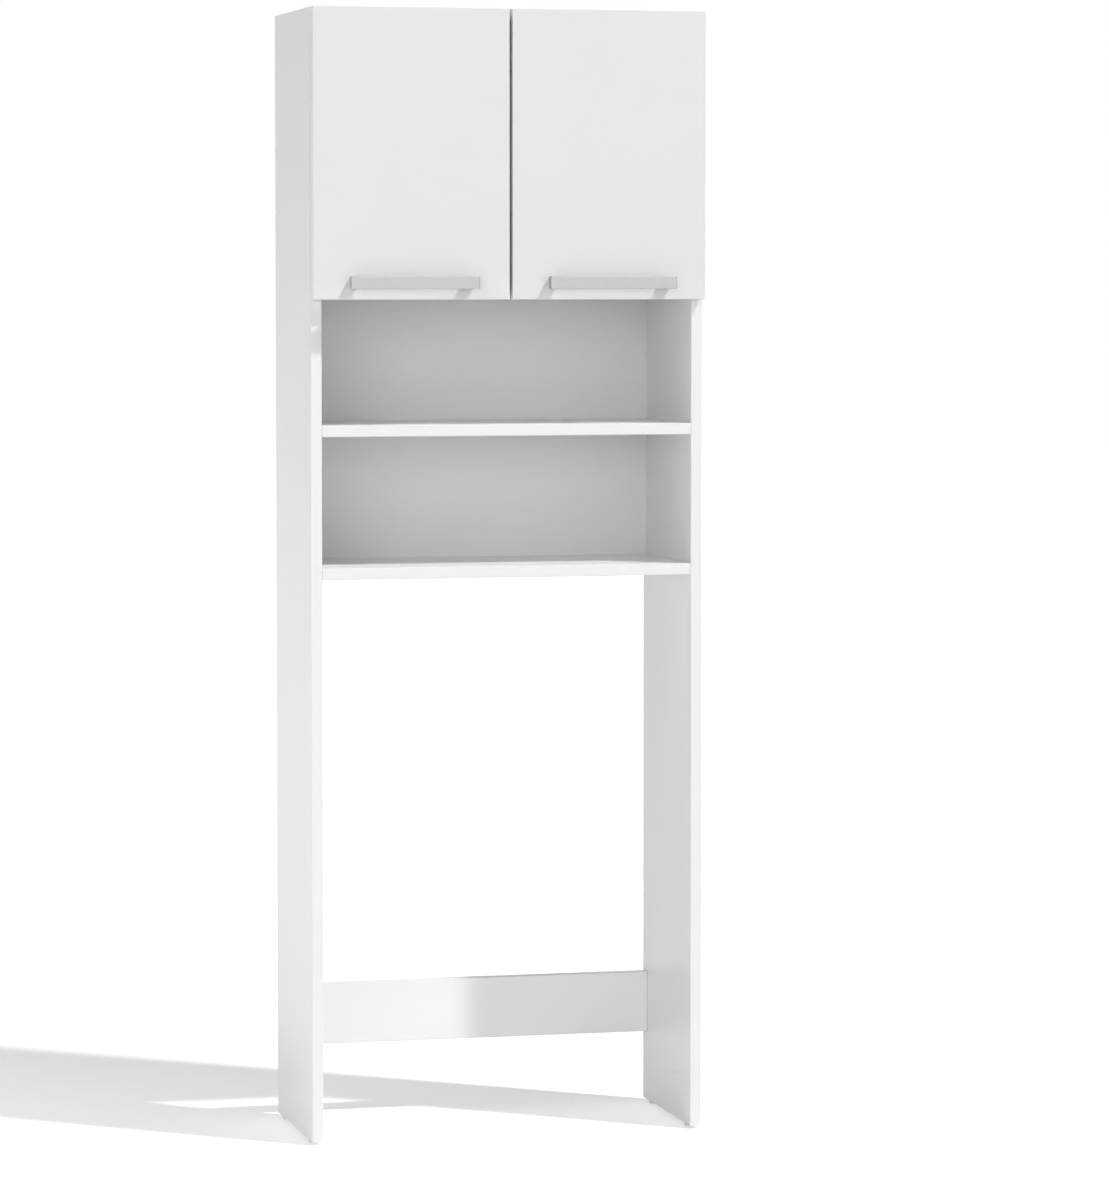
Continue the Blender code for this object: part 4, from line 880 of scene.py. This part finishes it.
# %% The four mounting plates
SCREW_CROSS = (2.3 * MM, 2.3 * MM, 0.5 * MM, 1.2 * MM)
plate_shank = in_mm([(0, -10), (1.4, -10), (2.5, -8.5), (2.5, 2), (0, 2)])
plate_head = in_mm(pan_head(radius=3.8, foot=2.2, top=4.3))
arm_shank = in_mm([(0, 15), (2.0, 15), (2.0, 19.2), (0, 19.2)])
arm_head = in_mm(pan_head(radius=3.8, foot=19.0, top=21.0))
for side, level, sign, height in hinges:
    origin = np.array([sign * inner_half, PLATE_MIDDLE, height])
    inwards = np.array([-sign, 0, 0])
    wall_axes = np.array([[0, 1, 0], [0, 0, 1], inwards])
    parts = [
        stamping([rounded_bar(half_along=8.0, half_up=23.0, corner=7.6)], low=0.3, high=2.3,
                 rim=0.5, origin=origin, axes=wall_axes),
        stamping([rounded_bar(half_along=24.0, half_up=5.2, corner=1.4)], low=0.5, high=16.5,
                 rim=0.5, origin=origin, axes=wall_axes),
    ]
    for step in (-1, 1):
        foot = origin + np.array([0, 0, step * PLATE_SCREW * MM])
        parts.append(turned(plate_shank, foot, inwards, steps=24))
        parts.append(turned(plate_head, foot, inwards, recess=SCREW_CROSS))
        foot = origin + np.array([0, step * ARM_SCREW * MM, 0])
        parts.append(turned(arm_shank, foot, inwards, steps=24))
        parts.append(turned(arm_head, foot, inwards, recess=SCREW_CROSS))
    piece(f"{side}_{level}_screwed_plate", *together(*parts), PLATED, "plated_steel", "carcass",
          (f"{side}_{level}_hinge_plate",))
print("plates", len(hinges))

# %% The ears of a cup
CUP_WALL = 17.5


def ear():
    """One ear of the cup's rim, anticlockwise, as (inwards, along the door) from the cup's middle."""
    near, far, end, corner = EAR_IN - EAR_HALF, EAR_IN + EAR_HALF, EAR_UP + EAR_END, EAR_CORNER
    foot = [math.degrees(math.acos(reach / CUP_WALL)) for reach in (near, far)]
    return np.concatenate([bend((0, 0), CUP_WALL, foot[0], foot[1], steps=8),
                           bend((far - corner, end - corner), corner, 0, 90),
                           bend((near + corner, end - corner), corner, 90, 180)])


print("an ear has", len(ear()), "points")

# %% The four cups
EAR_CROSS = (2.1 * MM, 2.1 * MM, 0.45 * MM, 0.9 * MM)
cup_profile = eased([(0, -10.2), (16.5, -10.2), (16.5, 1.1), (19.0, 1.1), (19.0, 0.3), (CUP_WALL, 0.3),
                     (CUP_WALL, -11.2), (0, -11.2)], [0, 1.6, 0.35, 0.25, 0.15, 0, 1.2], steps=5)
ear_shank = in_mm([(0, -11), (0.8, -11), (1.7, -8.5), (1.7, 0.8), (0, 0.8)])
ear_head = in_mm(pan_head(radius=3.6, foot=0.9, top=2.1))
cup_pin = in_mm([(0, 0), (PIN, 0), (PIN, 21), (0, 21)])
for side, level, sign, height in hinges:
    middle = at(sign, height, CUP_MIDDLE, 0)
    parts = [turned(in_mm(cup_profile), middle, BACKWARDS, steps=96)]
    for step in (-1, 1):
        ear_axes = [(-sign, 0, 0), (0, 0, step), (0, 1, 0)]
        parts.append(stamping([ear()], low=0.35, high=1.06, rim=0.2, origin=middle, axes=ear_axes))
        foot = middle + np.array([-sign * EAR_IN, 0, step * EAR_UP]) * MM
        parts.append(turned(ear_shank, foot, BACKWARDS, steps=24))
        parts.append(turned(ear_head, foot, BACKWARDS, recess=EAR_CROSS))
    parts.append(turned(cup_pin, at(sign, height, *OUTER_CUP, OUTER_PIN_FOOT), UPWARDS, steps=24))
    piece(f"{side}_{level}_pressed_cup", *together(*parts), PLATED, "plated_steel", f"{side}_door",
          (f"{side}_{level}_hinge_cup",))
print("cups", len(hinges))

# %% [markdown]
# ## Wall angles
#
# Two folded angles hold the cabinet to the wall. One plate of each is screwed up into the top panel and
# the other lies against the thin back, where a hole lets the wall screw through. Each plate is a
# stamped outline, which gives its round corners and the hole at once, and the fold between the plates
# is a small cove.

# %% The two wall angles
ANGLE_LEG, ANGLE_HALF, ANGLE_THICK = 34.0, 10.0, 2.0
ANGLE_HOLE_AT, ANGLE_HOLE, ANGLE_COVE, COVE_HALF = 0.62 * ANGLE_LEG, 3.0, 1.5, 9.7


def angle_plate(half):
    """One plate of an angle, anticlockwise, as (along the wall, away from the fold)."""
    corner, foot = 3.0, 0.4
    return np.concatenate([[(-half, foot), (half, foot)],
                           bend((half - corner, ANGLE_LEG - corner), corner, 0, 90),
                           bend((corner - half, ANGLE_LEG - corner), corner, 90, 180)])


inside, reach = ANGLE_THICK - 0.2, ANGLE_THICK + ANGLE_COVE
cove = np.concatenate([[(inside, inside), (reach, inside)],
                       bend((reach, reach), ANGLE_COVE, 270, 180, steps=6), [(inside, reach)]])
wall_hole = ring_of((0, ANGLE_HOLE_AT), ANGLE_HOLE, steps=32)
angle_shank = in_mm([(0, -14.2), (1.0, -14.2), (2.0, -12), (2.0, 0), (0, 0)])
angle_head = in_mm(pan_head(radius=3.8, foot=-0.1, top=2.0))
aside, forward, down = np.array([1, 0, 0]), np.array([0, -1, 0]), np.array([0, 0, -1])
for side in ("left", "right"):
    low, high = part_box(f"{side}_wall_angle")
    origin = np.array([(low.x + high.x) / 2, high.y, low.z + ANGLE_LEG * MM])
    foot = origin + (forward * ANGLE_HOLE_AT + down * ANGLE_THICK) * MM
    parts = [
        stamping([angle_plate(ANGLE_HALF)], low=0, high=ANGLE_THICK, rim=0.3,
                 origin=origin, axes=(aside, forward, down)),
        stamping([angle_plate(ANGLE_HALF - APART), wall_hole], low=0, high=ANGLE_THICK, rim=0.3,
                 origin=origin, axes=(aside, down, forward)),
        stamping([cove], low=-COVE_HALF, high=COVE_HALF, rim=0,
                 origin=origin, axes=(forward, down, aside)),
        turned(angle_shank, foot, down, steps=24),
        turned(angle_head, foot, down, recess=SCREW_CROSS),
    ]
    piece(f"{side}_folded_angle", *together(*parts), PLATED, "plated_steel", "carcass",
          (f"{side}_wall_angle",))
print("wall angles 2")

# %% [markdown]
# ## Floor, light and camera
#
# The cabinet stands on a wide white floor in a white room. The key is a far lamp at the upper right
# front, only three degrees wide, so the handles throw crisp slanted shadows on the doors. Two wide fills
# from the front, one from the upper left and a low one at the left light what the key doesn't reach, so
# the left side is only a little darker. Far lamps are used because they light every board alike, from
# the top of the cabinet to its foot. The floor and the room add a little light, and they are white
# where they are seen, straight or in the metal.

# %% The floor
def seen_by(tree):
    """1 for a ray from the camera, off gloss or through glass, and 0 for any other."""
    path = node(tree, "LightPath").outputs
    seen = maths(tree, "MAXIMUM", path["Is Camera Ray"], path["Is Glossy Ray"])
    return maths(tree, "MAXIMUM", seen, path["Is Transmission Ray"])


FLOOR_HALF = 30.0
FLOOR_LIFT = 0.40
FLOOR_WHITE = (0.84, 0.84, 0.84, 1)
PURE_WHITE = (1, 1, 1, 1)
floor_mesh = bpy.data.meshes.new("floor")
floor_mesh.from_pydata([(-FLOOR_HALF, -FLOOR_HALF, 0), (FLOOR_HALF, -FLOOR_HALF, 0),
                        (FLOOR_HALF, FLOOR_HALF, 0), (-FLOOR_HALF, FLOOR_HALF, 0)], [], [(0, 1, 2, 3)])
floor = bpy.data.objects.new("floor", floor_mesh)
bpy.context.scene.collection.objects.link(floor)
floor_white = bpy.data.materials.new("floor_white")
floor_white.use_nodes = True
tree = floor_white.node_tree
tree.nodes.clear()
matt = node(tree, "BsdfDiffuse", {"Color": FLOOR_WHITE})
glow = maths(tree, "MULTIPLY", seen_by(tree), FLOOR_LIFT)
lift = node(tree, "Emission", {"Color": PURE_WHITE, "Strength": glow})
both = node(tree, "AddShader", {0: matt.outputs[0], 1: lift.outputs[0]})
out = tree.nodes.new("ShaderNodeOutputMaterial")
tree.links.new(both.outputs[0], out.inputs["Surface"])
floor_mesh.materials.append(floor_white)
print("floor", FLOOR_HALF * 2, "m across")

# %% The room
ROOM = 0.16
world = bpy.data.worlds.new("white_room")
bpy.context.scene.world = world
world.use_nodes = True
tree = world.node_tree
tree.nodes.clear()
strength = node(tree, "MapRange", {"Value": seen_by(tree), "To Min": ROOM, "To Max": 1.0})
room = node(tree, "Background", {"Color": PURE_WHITE, "Strength": strength.outputs[0]})
out = tree.nodes.new("ShaderNodeOutputWorld")
tree.links.new(room.outputs[0], out.inputs[0])
print("room strength", ROOM)


# %% The lamps
def lamp(name, kind, place, aim, energy, **settings):
    """A lamp that shines from a place towards a point. Only its light is seen, never the lamp."""
    light = bpy.data.lights.new(name, kind)
    light.energy = energy
    for label, value in settings.items():
        setattr(light, label, value)
    made = bpy.data.objects.new(name, light)
    made.rotation_mode = "QUATERNION"
    made.rotation_quaternion = (Vector(place) - Vector(aim)).to_track_quat("Z", "Y")
    made.location = place
    made.visible_camera = False
    bpy.context.scene.collection.objects.link(made)


def far_lamp(name, azimuth, elevation, strength, width):
    """A far lamp: its azimuth, from straight in front to the right, elevation and width in degrees.

    way = (sin azimuth * cos elevation, -cos azimuth * cos elevation, sin elevation)
    """
    a, e = math.radians(azimuth), math.radians(elevation)
    way = (math.sin(a) * math.cos(e), -math.cos(a) * math.cos(e), math.sin(e))
    lamp(name, "SUN", way, (0, 0, 0), strength, angle=math.radians(width))


far_lamp("key", azimuth=50, elevation=52, strength=2.27, width=3)
far_lamp("left_front_fill", azimuth=-20, elevation=0, strength=0.96, width=40)
far_lamp("right_front_fill", azimuth=20, elevation=0, strength=0.35, width=40)
far_lamp("high_side_fill", azimuth=-50, elevation=35, strength=0.39, width=40)
lamp("low_side_fill", "AREA", place=(-1.7, 0.15, 0.5), aim=(-0.32, 0.0, 0.5), energy=6.4,
     shape="RECTANGLE", size=1.4, size_y=0.5)
print("lamps 5")

# %% The camera
# The camera stands nearly 8 m away at the left, about as high as the cupboard's floor, and looks down
# by three degrees. Its place, angles and lens were fitted to the straight edges of the photograph.
CAMERA_PLACE = (-1.8004, -7.5255, 1.3739)
LOOKS_DOWN, LOOKS_RIGHT = 2.9762, 14.2145
LENS, SENSOR, SHIFT, FARTHEST = 143.843, 36.0, -0.06, 200.0
lens = bpy.data.cameras.new("camera")
lens.lens = LENS
lens.sensor_width = SENSOR
lens.shift_y = SHIFT
lens.clip_end = FARTHEST
camera = bpy.data.objects.new("camera", lens)
camera.location = CAMERA_PLACE
camera.rotation_euler = (math.radians(90 - LOOKS_DOWN), 0, math.radians(-LOOKS_RIGHT))
bpy.context.scene.collection.objects.link(camera)
bpy.context.scene.camera = camera
bpy.context.scene.view_settings.view_transform = "Standard"
print("camera", CAMERA_PLACE, "lens", LENS, "mm")
